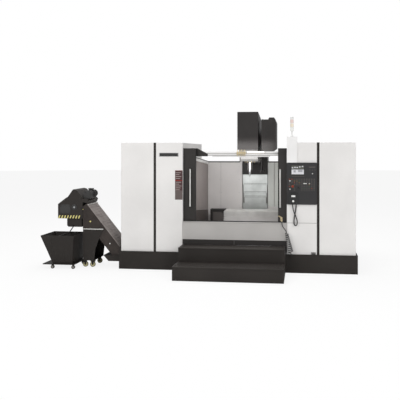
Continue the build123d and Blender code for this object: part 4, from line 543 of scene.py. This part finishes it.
lit = bmesh.new()
bar(lit, (964, 1176), (-22.9, -22.05), (1684, 1838), 0.2)
painted(lit, 1, bar, (966, 1174), (-23.4, -22.8), (1688, 1766), 0.2)
for x, z in (((1000, 1036), (1720, 1757)), ((1076, 1152), (1726, 1764)), ((966, 1174), (1768, 1772))):
    painted(lit, 2, bar, x, (-23.8, -23.3), z, 0.2)
for x, z in ((970, 1790), (1012, 1797), (1050, 1795), (1094, 1806), (1140, 1812)):
    painted(lit, 1, bar, (x, x + 24), (-23.4, -22.8), (z, z + 18), 0.2)
piece("display_areas", lit, (SCREEN_DARK, SCREEN_PALE, SCREEN_GREY))

soft_keys = bmesh.new()
for i in range(8):
    x = 966 + i * 28
    bar(soft_keys, (x, x + 20), (-28.4, -25.05), (1646, 1660), 1.0)
piece("soft_keys", soft_keys, KEY_PLASTIC)

keys = bmesh.new()
COLOURED = ((0, 0, 1), (0, 1, 1), (1, 2, 2), (1, 3, 2), (2, 2, 1), (1, 4, 3), (2, 4, 2), (4, 8, 3),
            (5, 9, 1), (4, 0, 1), (5, 6, 3), (3, 8, 2))
for row, column, number in COLOURED:
    x, z = 930 + column * 42, 1604 - row * 31
    painted(keys, number, bar, (x - 12.6, x + 12.6), (-25.6, -23.95), (z - 9, z + 9), 1.2)
for x in ((1167, 1225), (1262, 1276)):
    painted(keys, 0, bar, x, (-25.9, -20.1), (1524, 1536), 1.2)
piece("coloured_keys", keys, (WHITE_PLASTIC, KEY_RED, KEY_AMBER, KEY_GREEN))

collars = bmesh.new()
for x, z, radius, number in ((985, 1480, 27, 0), (1075, 1448, 27, 1), (938, 1433, 14, 1)):
    bore = radius - 7
    collar = [(bore, 0.1), (bore, 3), (radius - 2, 3), (radius, 1.5), (radius, 0.1)]
    painted(collars, number, turned, collar, (x, -20, z), FRONT, 40)
piece("button_collars", collars, (OCHRE_PLASTIC, BLACK_PLASTIC))

small = bmesh.new()
LAMPS = ((938, 1575, 10, 0), (1321, 1699, 9, 0), (1280, 1760, 8, 1), (1321, 1760, 8, 1), (1362, 1760, 8, 1))
for x, z, radius, number in LAMPS:
    painted(small, number, drum, radius, 5, (x, -25.05, z), FRONT, 1.2, 24)
painted(small, 1, bar, (1260, 1370), (-28, -25.05), (1800, 1822), 1.5)
painted(small, 0, drum, 9.4, 2, (938, -27.05, 1433), FRONT, 0.6, 24)
piece("panel_lamps", small, (WHITE_PLASTIC, KEY_PLASTIC))

# %% [markdown]
# The hand-wheel pendant has a white key across its bosses, a dial ring with cut marks round its pulse
# wheel and a white cap on the wheel, which turns with it. The white cap is a painted highlight on the
# wheel's centre.

# %% Pendant details
WHEEL_X, WHEEL_Z = 995, 1232
DIAL_MARKS, MARK_START = 40, 36
hand = bmesh.new()
painted(hand, 1, bar, (964, 1030), (-87, -82.2), (1302, 1332), 2)
for i in range(DIAL_MARKS):
    a = 2 * math.pi * i / DIAL_MARKS
    reach = 41 if i % 5 == 0 else 38.5
    middle = (reach + MARK_START) / 2
    place = (WHEEL_X + middle * math.sin(a), -70.4, WHEEL_Z + middle * math.cos(a))
    painted(hand, 1, plain_box, (0.8, 0.6, reach - MARK_START), place, a, "Y")
turned(hand, [(35.5, 0.1), (35.5, 1.0), (42.5, 1.0), (43.5, 0.1)], (WHEEL_X, -70, WHEEL_Z), FRONT, 48)
bar(hand, (955, 1035), (-24.9, -22), (1360, 1372), 0.8)
piece("pendant_keys_and_dial", hand, (BLACK_PLASTIC, WHITE_PLASTIC))
# The white cap paints the highlight on the wheel's centre.
hub = bmesh.new()
drum(hub, 18, 2.6, (WHEEL_X, -82.25, WHEEL_Z), FRONT, 0.8, 36)
piece("pulse_wheel_highlight_cap", hub, WHITE_PLASTIC, "pendant_wheel")

# %% [markdown]
# Inside, the tub is lined. Each side wall has a taupe sheet, which is painted shade: a darker colour laid
# where the wall is in shade. A darker sheet along its foot is painted shade too, where the tub's foot lies
# in shadow.
# A white folded rim runs along the top; the black rubber lip on its top edge is a painted shade line. The
# back wall has an edging, a joint and three pale panels at the right.

# %% Flat sheets, and the lining of the tub
def sheet(shape, corners, axis, limits, edge=0.8):
    """A flat sheet: its corners lie across the X or the Y axis, and it fills two limits along it."""
    along = {"X": X_AXIS, "Y": Y_AXIS}[axis]
    points = [at(limits[0], a, b) if axis == "X" else at(a, limits[0], b) for a, b in corners]
    face = shape.faces.new([shape.verts.new(point) for point in points])
    moved = thicken(shape, [face], along * (limits[1] - limits[0]) / 1000)
    soften(shape, list({e for v in moved + list(face.verts) for e in v.link_edges}), edge)


TUB_WALLS = ((-742, 1), (1057, -1))
TUB_FRONT, TUB_BACK = 226, 1624
lining, splash, rim = bmesh.new(), bmesh.new(), bmesh.new()
for wall, inward in TUB_WALLS:
    face_x = (wall + 0.1 * inward, wall + 2.1 * inward)
    # The taupe upper sheet is painted shade: it darkens the wall where shade falls.
    upper = [(TUB_FRONT, 1040), (TUB_FRONT, 1912), (TUB_BACK - 4, 1822), (TUB_BACK - 4, 918)]
    sheet(lining, upper, "X", face_x, 0.6)
    # The dark foot sheet is painted shade where the tub's foot lies in shadow.
    lower = [(TUB_FRONT, 375), (TUB_FRONT, 1036), (TUB_BACK - 4, 914), (TUB_BACK - 4, 650), (566, 375)]
    sheet(splash, lower, "X", (wall + 0.1 * inward, wall + 3.1 * inward), 0.6)
    places = [(face_x[1], TUB_FRONT + 40 + i * 264, high - i * fall) for i in range(6)
              for high, fall in ((1890, 17), (1062, 23))]
    screws(lining, 0, places, X_AXIS * inward, 6, 2.5)
    strip = [(TUB_FRONT, 1917), (TUB_FRONT, 1960), (TUB_BACK - 4, 1871), (TUB_BACK - 4, 1828)]
    painted(rim, 0, sheet, strip, "X", (wall + 0.1 * inward, wall + 12 * inward), 2)
    # The black lip along the rim's top is a painted shade line.
    lip = [(TUB_FRONT, 1960), (TUB_FRONT, 1974), (TUB_BACK, 1885), (TUB_BACK, 1871)]
    painted(rim, 1, sheet, lip, "X", (wall - 6 * inward, wall + 13 * inward), 2)
piece("tub_side_shade_lining", lining, SHADE_LINING_COAT)
piece("tub_foot_shade_sheets", splash, FOOT_SHADE_SHEET)
piece("tub_wall_rims", rim, (WHITE_COAT, BLACK_RUBBER))

# %% The back wall's edging, joint and right-hand panels
WALL_Y = 1621.9
PANEL_Z = (980, 1856)
back = bmesh.new()
for edging_x in ((-740, -92), (422, 1055)):
    painted(back, 1, bar, edging_x, (1617, 1624.8), (1862, 1884), 2)
painted(back, 3, bar, (-482, -477), (1621, WALL_Y), (660, 1860), 0.3)
for x in (596, 710):
    painted(back, 3, bar, (x - 4, x + 4), (1616, WALL_Y), PANEL_Z, 1)
for low, high in ((470, 588), (604, 704), (716, 1050)):
    painted(back, 0, bar, (low, high), (1613, WALL_Y), PANEL_Z, 3)
    places = [(x, 1613, z) for z in (1010, 1280, 1550, 1826) for x in (low + 16, high - 16)]
    screws(back, 2, places, FRONT, 5, 2.5)
places = [(x, WALL_Y, z) for x in (-720, -500, -460, -110) for z in (1000, 1260, 1520, 1780)]
screws(back, 2, places, FRONT, 6, 3)
piece("back_wall_panels", back, (PANEL_COAT, BLACK_RUBBER, BRIGHT_STEEL, SEAL_GREY))

# %% [markdown]
# Telescopic steel covers close the vertical way, which gives such a machine its folded look. Each leaf has
# a steel strip on its hemmed lower edge, a row of screws and a stiffening bead above. The strip and the
# bead are a darker steel than the leaf, which is painted shade: the shade lines under each lip. They ride
# with their own leaf. Each leaf is 10 mm behind the one above it and 10 mm narrower on each side.

# %% Way cover lips
LEAF_FEET = (1412, 1247, 1158)
LEAF_STEP = 10
FIRST_LEAF_Y, FIRST_HALF = 1652, 241
LEAF_X = 210
for number, low in enumerate(LEAF_FEET):
    lip = bmesh.new()
    y = FIRST_LEAF_Y + LEAF_STEP * number
    half = FIRST_HALF - LEAF_STEP * number
    # The strip and the bead are darker steel: painted shade under the leaf's lip.
    bar(lip, (LEAF_X - half, LEAF_X + half), (y - 7.4, y - 5.1), (low + 1, low + 6), 0.8)
    half -= 10
    bar(lip, (LEAF_X - half, LEAF_X + half), (y - 2.6, y - 0.1), (low + 24, low + 34), 1.2)
    places = [(LEAF_X + share * half, y - 0.1, low + 15) for share in (-0.9, -0.3, 0.3, 0.9)]
    screws(lip, 0, places, FRONT, 4, 2)
    piece("leaf_lip_%d" % (number + 1), lip, LIP_SHADE_STEEL, "way_cover_%d" % (number + 1))

# %% [markdown]
# A tube lamp hangs along the beam: an end cap at each side, a metal back and a round diffuser that is lit.
# Beside it a brass block shares the air and coolant out to ribbed nipples with hexagon shoulders. A black
# gusset of folded sheet stiffens the beam's left end.

# %% Tube lamp
LAMP_X = (176, 500)
LAMP_PLACE = (136, 2066)
lamp = bmesh.new()
painted(lamp, 0, drum, 11, LAMP_X[1] - LAMP_X[0] - 24, (LAMP_X[0] + 12, *LAMP_PLACE), X_AXIS, 1)
for x in (LAMP_X[0], LAMP_X[1] - 14):
    painted(lamp, 1, drum, 13, 14, (x, *LAMP_PLACE), X_AXIS, 2)
painted(lamp, 1, bar, (LAMP_X[0] + 4, LAMP_X[1] - 4), (146, 149.9), (2058, 2074), 1)
piece("tube_lamp", lamp, (WORK_LAMP, SATIN_ALUMINIUM))

# %% Brass distributor and its nipples
def nipple(shape, place, axis, hexagon=11, length=26):
    """A hexagon shoulder, a neck and a ribbed hose tail, one after the other along an axis."""
    turned(shape, [(0, 0), (hexagon * 0.92, 0), (hexagon, 1), (hexagon, 9), (hexagon * 0.92, 10), (0, 10)],
           place, axis, 6)
    tail = [(0, 10), (6, 10), (6, 12)]
    for rib in range(4):
        start = 12 + rib * (length - 14) / 4
        tail += [(7.5, start), (5.6, start + (length - 14) / 4)]
    turned(shape, tail + [(4, length), (0, length)], place, axis, 20)


brass = bmesh.new()
painted(brass, 0, bar, (2, 164), (128, 149.8), (2030, 2068), 3)
for i in range(5):
    painted(brass, 0, nipple, (18 + i * 32, 139, 2067), Z_AXIS, 10, 44 - 6 * (i % 2))
    painted(brass, 0, nipple, (18 + i * 32, 139, 2031), -Z_AXIS, 10, 36)
screws(brass, 1, [(x, 128, 2049) for x in (34, 98, 146)], FRONT, 6, 4)
piece("brass_distributor", brass, (BRASS, BRIGHT_STEEL))

# %% Black gusset at the beam's left end
gusset = bmesh.new()
sheet(gusset, [(-738, 1999), (-738, 2136), (-700, 2136), (-512, 2036), (-512, 1999)], "Y", (144, 149.8), 1)
bar(gusset, (-738, -512), (128, 149.8), (1993, 2000), 1.5)
places = [(x, 144, z) for x, z in ((-715, 2110), (-715, 2020), (-640, 2020), (-545, 2020))]
screws(gusset, 0, places, FRONT, 6, 3.5)
piece("beam_gusset", gusset, CHARCOAL_COAT)

# %% [markdown]
# Round the spindle's nose there are a ring of screws and four coolant nozzles, placed on two circles by
# their angles. They ride with the head.

# %% Nose details
SPINDLE_PLACE = (165, 960)
NOSE_Z = 1895
nose = bmesh.new()
places = [(x, y, NOSE_Z) for x, y in circle(SPINDLE_PLACE, 66, 8, math.pi / 8)]
screws(nose, 0, places, -Z_AXIS, 6, 5)
for x, y in circle(SPINDLE_PLACE, 92, 4, math.radians(200), math.radians(47)):
    painted(nose, 1, nipple, (x, y, NOSE_Z), -Z_AXIS, 8, 30)
piece("nose_nozzles", nose, (BRIGHT_STEEL, BRASS), "head")

# %% [markdown]
# The chip conveyor lifts chips up its incline and drops them in the bin. Its side plates are bolted, the
# drive shaft runs in flange bearings, and slanted stripes mark the spout's edge.

# %% Conveyor trim
BEND = (-2070, 355)
RISE = math.radians(51)
SIDE_Y = 50
HEAD_Y = 38
SHAFT = (-2930, 1075)


def incline(far, up):
    """A place (x, z) at a distance up the incline and a height square off its top face."""
    return (BEND[0] - far * math.cos(RISE) + up * math.sin(RISE),
            BEND[1] + far * math.sin(RISE) + up * math.cos(RISE))


stripes = bmesh.new()
for i in range(8):
    x = -3232 + i * 53
    bottom, top = 873, 926
    corners = [(x, bottom), (x + 24, bottom), (x + 44, top), (x + 20, top)]
    sheet(stripes, corners, "Y", (HEAD_Y - 1.6, HEAD_Y - 0.1), 0.3)
piece("spout_stripes", stripes, HAZARD_YELLOW)

trim = bmesh.new()
rim_places = ((-3215, 960), (-3215, 1110), (-3090, 1212), (-3032, 1255), (-2955, 1365), (-2888, 1350),
              (-2800, 1225), (-2800, 1060), (-2800, 905))
screws(trim, 1, [(x, HEAD_Y, z) for x, z in rim_places], FRONT, 8, 5)
plate = [(-3196, 958), (-3196, 1096), (-3168, 1124), (-3030, 1124), (-3002, 1096), (-3002, 958)]
painted(trim, 0, sheet, plate, "Y", (HEAD_Y - 3, HEAD_Y - 0.1), 0.8)
plate_places = ((-3180, 974), (-3180, 1090), (-3099, 1110), (-3018, 1090), (-3018, 974), (-3099, 974))
screws(trim, 1, [(x, HEAD_Y - 3, z) for x, z in plate_places], FRONT, 6, 3)
flange = [(17.5, 0), (50, 0), (50, 9), (34, 14), (17.5, 14), (17.5, 0)]
painted(trim, 0, turned, flange, (SHAFT[0], HEAD_Y - 0.1, SHAFT[1]), FRONT, 36)
screws(trim, 1, [(x, HEAD_Y - 9, z) for x, z in circle(SHAFT, 41, 4, math.pi / 4)], FRONT, 6, 5)
piece("conveyor_head_trim", trim, (DARK_CASTING, OXIDE_STEEL))

sides = bmesh.new()
for near, far, top, foot in ((70, 905, -6, -26), (255, 560, -180, -201)):
    strip = [incline(near, top), incline(far, top), incline(far, foot), incline(near, foot)]
    sheet(sides, strip, "Y", (SIDE_Y - 4, SIDE_Y - 0.1), 1)
row = [incline(100 + i * 96, -16) for i in range(9)]
screws(sides, 0, [(x, SIDE_Y - 4, z) for x, z in row], FRONT, 6, 4)
piece("incline_edge_strips", sides, TROUGH_COAT)

marks = bmesh.new()
for x, z, radius in ((-2633, 821, 15), (-2772, 1036, 9)):
    painted(marks, 0, drum, radius, 7, (x, SIDE_Y - 0.05, z), FRONT, 2, 20)
x, z = incline(185, -108)
painted(marks, 1, drum, 11, 7, (x, SIDE_Y - 0.05, z), FRONT, 2, 20)
ledge_x = (-2768, -2387)
painted(marks, 2, bar, ledge_x, (29.2, 31.9), (679, 694), 1)
painted(marks, 2, bar, ledge_x, (29.2, 50), (690.1, 694), 1)
# The bright aluminium bar across the cover's top is a painted highlight along that edge.
x, z = incline(975, 16)
painted(marks, 2, drum, 8, 500, (x, 50, z), Y_AXIS, 2, 20)
piece("conveyor_marks_ledge_and_glint_bar", marks, (HAZARD_YELLOW, WHITE_PLASTIC, SATIN_ALUMINIUM))

# %% [markdown]
# The conveyor's gear motor has a pressed fan cover with an air grille, a terminal box with its gland, and
# a plug on the gearbox. The spout has a lever for its flap.

# %% Motor fan cover and terminal box
MOTOR = (-2706, 1304)
cowl = bmesh.new()
shell = [(20, 52), (62, 52), (68, 46), (69, 0), (66, 0), (65, 44), (60, 49), (20, 49), (20, 52)]
turned(cowl, shell, (MOTOR[0], 420, MOTOR[1]), Y_AXIS, 40)
for radius in (26, 36, 46, 56):
    ring(cowl, radius, 2.2, (MOTOR[0], 473, MOTOR[1]), Y_AXIS, 36)
drum(cowl, 20, 4, (MOTOR[0], 468, MOTOR[1]), Y_AXIS, 1)
bar(cowl, (MOTOR[0] - 38, MOTOR[0] + 38), (248, 332), (MOTOR[1] + 60, MOTOR[1] + 96), 6, 3)
bar(cowl, (MOTOR[0] - 41, MOTOR[0] + 41), (245, 335), (MOTOR[1] + 90, MOTOR[1] + 100), 3)
places = [(MOTOR[0] + dx, y, MOTOR[1] + 100) for dx in (-33, 33) for y in (253, 327)]
screws(cowl, 0, places, Z_AXIS, 5, 3)
drum(cowl, 13, 24, (MOTOR[0], 248, MOTOR[1] + 78), FRONT, 3)
drum(cowl, 12, 8, (MOTOR[0] - 44, 90, MOTOR[1] + 44), FRONT, 2, 6)
piece("motor_fan_cover", cowl, DARK_CASTING)


def rod_between(shape, start, end, radius, edge=1.0, steps=16):
    """A round bar from one place to another."""
    run = Vector(end) - Vector(start)
    drum(shape, radius, run.length, start, run.normalized(), edge, steps)


lever = bmesh.new()
rod_between(lever, (-2962, 84, 724), (-3046, 84, 606), 9, 3)
drum(lever, 16, 14, (-2962, 92, 730), FRONT, 2)
piece("spout_flap_lever", lever, BLACK_PLASTIC)

# %% [markdown]
# The bin is welded from plate. Its rim is rolled over a rod so that it doesn't cut hands, a bead of weld
# runs down each corner, and the wheels are nylon tyres with steel hubs.

# %% Bin rim, welds and wheels
RIM_X, RIM_Y, RIM_Z = (-3476, -2860), (-170, 430), 576
FOOT_X, FOOT_Y, FOOT_Z = (-3257, -2900), (-140, 370), 94
welds = bmesh.new()
inside = 8
rim_x = (RIM_X[0] + inside, RIM_X[1] - inside)
rim_y = (RIM_Y[0] + inside, RIM_Y[1] - inside)
for y in rim_y:
    drum(welds, 9, rim_x[1] - rim_x[0], (rim_x[0], y, RIM_Z), X_AXIS, 2, 16)
for x in rim_x:
    drum(welds, 9, rim_y[1] - rim_y[0], (x, rim_y[0], RIM_Z), Y_AXIS, 2, 16)
for i in (0, 1):
    for j in (0, 1):
        start = (FOOT_X[i], FOOT_Y[j], FOOT_Z)
        rod_between(welds, start, (rim_x[i], rim_y[j], RIM_Z), 5, 1, 10)
for low_x, high_x in ((-3208, -3282), (-3038, -3061)):
    rod_between(welds, (low_x, FOOT_Y[0] + 1, 120), (high_x, RIM_Y[0] + 3, 560), 5, 1, 10)
piece("bin_rim_and_welds", welds, BLACK_COAT)

def tyre(shape, bore, rim, crown, place, steps):
    """A tyre turned about a line along Y: its rim and its crown are each a (radius, half width)."""
    half = [(bore, rim[1]), rim, crown]
    turned(shape, [(r, -d) for r, d in half] + half[::-1], place, Y_AXIS, steps)


tyres = bmesh.new()
for x, y in ((-2735, 90), (-2600, 90), (-2735, 470), (-2600, 470)):
    painted(tyres, 0, tyre, 14, (40, 13.4), (48.2, 8), (x, y, 48), 36)
    painted(tyres, 2, drum, 14, 34, (x, y - 17, 48), Y_AXIS, 3)
    for side in (-1, 1):
        near = y + side * 17.2
        fork = [(x - 17, 44), (x + 17, 44), (x + 24, 118), (x - 24, 118)]
        painted(tyres, 2, sheet, fork, "Y", (near - 1.6, near + 1.6), 0.6)
for x in (-3255, -2875):
    for y in (-150, 350):
        painted(tyres, 1, tyre, 8, (26, 13.6), (32.2, 9), (x, y, 32), 32)
        painted(tyres, 1, drum, 20, 3, (x, y - 19.1, 32), FRONT, 1)
        painted(tyres, 2, drum, 9, 6, (x, y - 19.1, 32), FRONT, 1, 6)
piece("nylon_wheels", tyres, (WHEEL_PLASTIC, WHEEL_GREY, OXIDE_STEEL))

# %% [markdown]
# The treads are folded from raised-pattern plate, so that wet boots don't slip: short bars turned one way
# and the other. Each bar is a box of six faces, because there are hundreds, and their pitch of 55 mm is
# coarser than a real one, so that it shows.

# %% Tread pattern
treads = bmesh.new()
PITCH = 55
for y0, y1, z in ((-892, -418, 225), (-402, -48, 455)):
    rows, columns = int((y1 - y0) / PITCH), int(1770 / PITCH)
    for row in range(rows):
        for column in range(columns):
            x = -912 + (column + 0.5) * PITCH
            y = y0 + (row + 0.5) * (y1 - y0) / rows
            turn = math.radians(45 if (row + column) % 2 else -45)
            plain_box(treads, (34, 7, 2.2), (x, y, z + 0.9), turn, "Z")
piece("tread_pattern", treads, TREAD_COAT)

nosing = bmesh.new()
for y, z in ((-900, 225), (-410, 455)):
    bar(nosing, (-929, 861), (y - 1.5, y + 4), (z - 16, z + 1.5), 1.5)
piece("tread_nosings", nosing, TREAD_COAT)

# %% [markdown]
# Over the rails in front of the table a thin skirt hangs from the table, and a dark guard stands on the
# saddle's left wing. Both keep chips off the rails. Two pale strips stand beside the Z covers and close
# the gap to the back wall.

# %% Table skirt and saddle guard
skirt = bmesh.new()
bar(skirt, (-296, 896), (694, 699.8), (786, 872), 1.5)
screws(skirt, 0, [(-270 + i * 142, 694, 858) for i in range(9)], FRONT, 6, 4)
piece("table_front_skirt", skirt, PALE_CASTING, "table")

guard = bmesh.new()
sheet(guard, [(-498, 700), (-498, 958), (-345, 958), (-308, 930), (-308, 700)], "Y", (660, 664), 1)
bar(guard, (-498, -308), (664, 682), (781, 786), 1)
screws(guard, 0, [(x, 660, 752) for x in (-480, -403, -326)], FRONT, 6, 4)
piece("saddle_wing_guard", guard, GUARD_COAT, "saddle")

rails = bmesh.new()
for low, high in ((-64, -51), (467, 479)):
    bar(rails, (low, high), (1640, 1650), (850, 1858), 2)
piece("way_side_rails", rails, PANEL_COAT)

# %% [markdown]
# The housings are casings with lift-off service panels on the outer sides, held by quarter-turn latches,
# with blocks of pressed louvres at the foot. One louvre is a slanted profile drawn out to its length, and
# a loop stacks them. Screwed sheets close the roofs.

# %% Service panels and louvres
def louvre(shape, wall, outward, across_limits, z, axis, reach=7, height=15):
    """A pressed louvre on a wall: a slanted hood, open below, drawn out along X or Y."""
    corners = [(wall, z + height), (wall + outward * reach, z + 2), (wall + outward * reach, z),
               (wall + outward * (reach - 1.5), z), (wall, z + height - 3)]
    sheet(shape, corners, axis, across_limits, 0.3)


def louvres(shape, wall, outward, starts, length, low_z, count, axis, pitch=24):
    """Blocks of louvres: a row from each start, so many high."""
    for i in range(count):
        for start in starts:
            painted(shape, 0, louvre, wall, outward, (start, start + length), low_z + i * pitch, axis)


def latch(shape, place, axis):
    """A quarter-turn latch: a turned cup with a raised bar across it."""
    turned(shape, [(0, 1.5), (9, 1.5), (11, 4), (14, 4), (16, 0)], place, axis, 24)
    bar_end = Vector(place) + axis * 1.5
    rod_between(shape, bar_end - Z_AXIS * 8, bar_end + Z_AXIS * 8, 2.2, 0.6, 8)


def latches(shape, x, y, foot, axis):
    """Three latches up the edge of a panel, from its foot to the common top."""
    for z in (foot + 50, (foot + PANEL_TOP) / 2, PANEL_TOP - 50):
        painted(shape, 1, latch, (x, y, z), axis)


PANEL_TOP, PANEL_FOOT = 2130, 420
ABOVE_TROUGH = 700
PANEL_SHEET = 3
ROOF_Z = (2230.1, 2232.6)
REAR_FACE = 2003
for name, wall, outward, foot in (("left", -2050, -1, ABOVE_TROUGH), ("right", 2050, 1, PANEL_FOOT)):
    panels = bmesh.new()
    outside = wall + outward * PANEL_SHEET
    for y0, y1 in ((110, 980), (1010, 1890)):
        painted(panels, 0, bar, sorted((wall + outward * 0.1, outside)), (y0, y1), (foot, PANEL_TOP), 1.5)
        for y in (y0 + 45, y1 - 45):
            latches(panels, outside, y, foot, X_AXIS * outward)
        louvres(panels, outside, outward, (y0 + 150, y0 + 460), 250, foot + 60, 9, "Y")
    piece(name + "_service_panels", panels, (WHITE_COAT, OXIDE_STEEL))

roof = bmesh.new()
for x0, x1 in ((-1990, -1480), (-1450, -1000), (1120, 1500), (1530, 1990)):
    bar(roof, (x0, x1), (60, 1940), ROOF_Z, 1.2)
    places = [(x, y, ROOF_Z[1]) for y in (90, 700, 1300, 1910) for x in (x0 + 25, x1 - 25)]
    screws(roof, 0, places, Z_AXIS, 7, 3)
piece("roof_sheets", roof, WHITE_COAT)

rear = bmesh.new()
painted(rear, 0, bar, (-1980, -1010), (2000.1, REAR_FACE), (PANEL_FOOT, PANEL_TOP), 1.5)
for x in (-1935, -1055):
    latches(rear, x, REAR_FACE, PANEL_FOOT, Y_AXIS)
louvres(rear, REAR_FACE, 1, (-1900, -1560, -1220), 160, PANEL_FOOT + 60, 9, "X")
piece("rear_service_panel", rear, (WHITE_COAT, OXIDE_STEEL))

# The grey strip in the seam under the operator panel is painted shade in that groove.
seam = bmesh.new()
bar(seam, (888, 1391), (-1.2, -0.05), (848, 856), 0.4)
piece("panel_seam_shade_strip", seam, SEAL_GREY)
toe = bmesh.new()
bar(toe, (863, 882.5), (-23.5, -20.1), (317, 455), 0.8)
bar(toe, (-928, 860), (-28.5, -23.6), (455.1, 462), 1.5)
for i in range(3):
    bar(toe, (1298, 1378), (-9, -0.1), (318 + i * 14, 326 + i * 14), 2)
piece("toe_filler_and_vent", toe, CHARCOAL_COAT)

# %% [markdown]
# The control cabinet on the back has four blocks of louvres for its drives' air, a swing handle with a
# lock on its latch plate and a row of cable glands under it. The handle and louvres ride with its door.

# %% Cabinet door details
DOOR_FACE, LATCH_FACE = 2412, 2430
door_parts = bmesh.new()
for low_z in (440, 1640):
    louvres(door_parts, DOOR_FACE, 1, (980, 1420), 380, low_z, 14, "X")
painted(door_parts, 1, bar, (893, 922), (LATCH_FACE, LATCH_FACE + 7), (1115, 1285), 4, 3)
painted(door_parts, 1, bar, (899, 916), (LATCH_FACE + 7, LATCH_FACE + 16), (1125, 1230), 4, 3)
painted(door_parts, 2, drum, 10, 6, (907.5, LATCH_FACE + 7, 1262), Y_AXIS, 1.5)
for z in (330, 2065):
    painted(door_parts, 1, bar, (862, 1938), (DOOR_FACE, DOOR_FACE + 1.2), (z - 5, z + 5), 0.5)
piece("cabinet_louvres_and_lock", door_parts, (CABINET_COAT, BLACK_PLASTIC, BRIGHT_STEEL),
      "cabinet_door")

glands = bmesh.new()
gland = [(0, 0), (22, 0), (24, 3), (24, 12), (19, 14), (19, 22), (13, 30), (0, 30)]
for i in range(9):
    turned(glands, gland, (1010 + i * 95, 2200, 315), -Z_AXIS, 6)
piece("cabinet_glands", glands, BLACK_PLASTIC)

# %% [markdown]
# The head's black cover and the magazine's are folded boxes with screwed flanges. The head's has louvres
# on its left side for the motor's air, the magazine's has stiffening ribs. The signal lamp's three lenses
# are thin turned sleeves over its tube, unlit and so nearly white.

# %% Head cover and magazine details
COVER_X, COVER_FRONT = (-47, 337), 700
cover = bmesh.new()
places = [(x, COVER_FRONT, z) for z in (2135, 2400, 2660, 2780) for x in (COVER_X[0] + 16, COVER_X[1] - 16)]
screws(cover, 1, places, FRONT, 6, 3)
louvres(cover, COVER_X[0], -1, (880, 1180), 240, 2250, 12, "Y", 26)
piece("head_cover_louvres", cover, (CHARCOAL_COAT, OXIDE_STEEL), "head")

ribs = bmesh.new()
for i in range(6):
    x = 428 + i * 38
    painted(ribs, 0, bar, (x, x + 12), (687.4, 689.9), (2130, 2640), 2)
screws(ribs, 1, [(x, 690, z) for z in (2105, 2672) for x in (426, 640)], FRONT, 6, 3)
piece("magazine_ribs", ribs, (CHARCOAL_COAT, OXIDE_STEEL))

tower = bmesh.new()
sleeve = [(27.4, 0), (28.2, 3), (28.2, 55), (27.4, 58), (27.4, 0)]
for number, z in enumerate((2430, 2500, 2570)):
    painted(tower, number, turned, sleeve, (971, 62, z), Z_AXIS, 40)
piece("signal_lenses", tower, (LAMP_CLEAR, LAMP_AMBER, LAMP_RED))

# %% [markdown]
# The floor is a wide pale disc that keeps the object's soft shadow. The world is a plain grey-white sky,
# white where the camera looks straight at it. Three large soft lamps stand round the machine and a small
# one in the tub is the light of the tube lamp.

# %% Floor, sky and lamps
def camera_mix(tree, amount, first, second, output):
    """Shows the camera an amount of a second shader, while the light sees only the first."""
    path = node(tree, "LightPath")
    share = node(tree, "Math", {0: path.outputs["Is Camera Ray"]}, operation="MULTIPLY")
    share.inputs[1].default_value = amount
    mix = node(tree, "MixShader", {"Fac": share.outputs["Value"], 1: first, 2: second})
    tree.links.new(mix.outputs["Shader"], tree.nodes[output].inputs["Surface"])


disc = bmesh.new()
bmesh.ops.create_circle(disc, cap_ends=True, segments=64, radius=60)
mesh = bpy.data.meshes.new("studio_floor")
disc.to_mesh(mesh)
disc.free()
new_object("studio_floor", mesh)
FLOOR_PAINT, tree, base = finish("pale_floor_paint", Base_Color="#F2F2F2", Roughness=0.9)
glow = node(tree, "Emission", Color=colour("#FFFFFF"), Strength=1.0)
camera_mix(tree, 0.86, base.outputs["BSDF"], glow.outputs["Emission"], "Material Output")
mesh.materials.append(FLOOR_PAINT)

world = bpy.data.worlds.new("pale_studio")
bpy.context.scene.world = world
world.use_nodes = True
tree = world.node_tree
sky = tree.nodes["Background"]
sky.inputs["Color"].default_value = colour("#FFFFFF")
sky.inputs["Strength"].default_value = 0.55
white = node(tree, "Background", Color=colour("#FFFFFF"), Strength=1.0)
camera_mix(tree, 1, sky.outputs["Background"], white.outputs["Background"], "World Output")


def soft_lamp(name, place, target, size, power):
    """A square area lamp that faces a point."""
    lamp = bpy.data.lights.new(name, "AREA")
    lamp.size = size
    lamp.energy = power
    holder = new_object(name, lamp)
    holder.location = place
    holder.rotation_euler = (Vector(target) - Vector(place)).to_track_quat("-Z", "Y").to_euler()


soft_lamp("front_left_lamp", (-4, -9, 6), (0, 0, 1.2), 5, 290)
soft_lamp("front_right_lamp", (7, -8, 5), (1, 0, 1.2), 5, 260)
soft_lamp("top_lamp", (0, 2, 8), (0, 0, 0), 6, 330)
soft_lamp("tub_lamp", at(160, 240, 1960), at(160, 1150, 900), 0.9, 10)

# %% [markdown]
# The photograph is a long shot from the height of the spindle's nose, a little to the right of the doors.
# Its frame is cut off centre: the point that the camera faces is right of the middle and above it.

# %% Camera
camera = bpy.data.cameras.new("front_camera")
camera.lens = 54
camera.sensor_width = 36
camera.shift_x = -0.07
camera.shift_y = -0.1203
camera.clip_end = 200
stand = new_object("front_camera", camera)
stand.location = (1.8525, -11.1268, 2.066)
stand.rotation_euler = Euler((math.pi / 2 + 0.0005, 0, 0.1238))
bpy.context.scene.camera = stand
bpy.context.scene.view_settings.view_transform = "Standard"
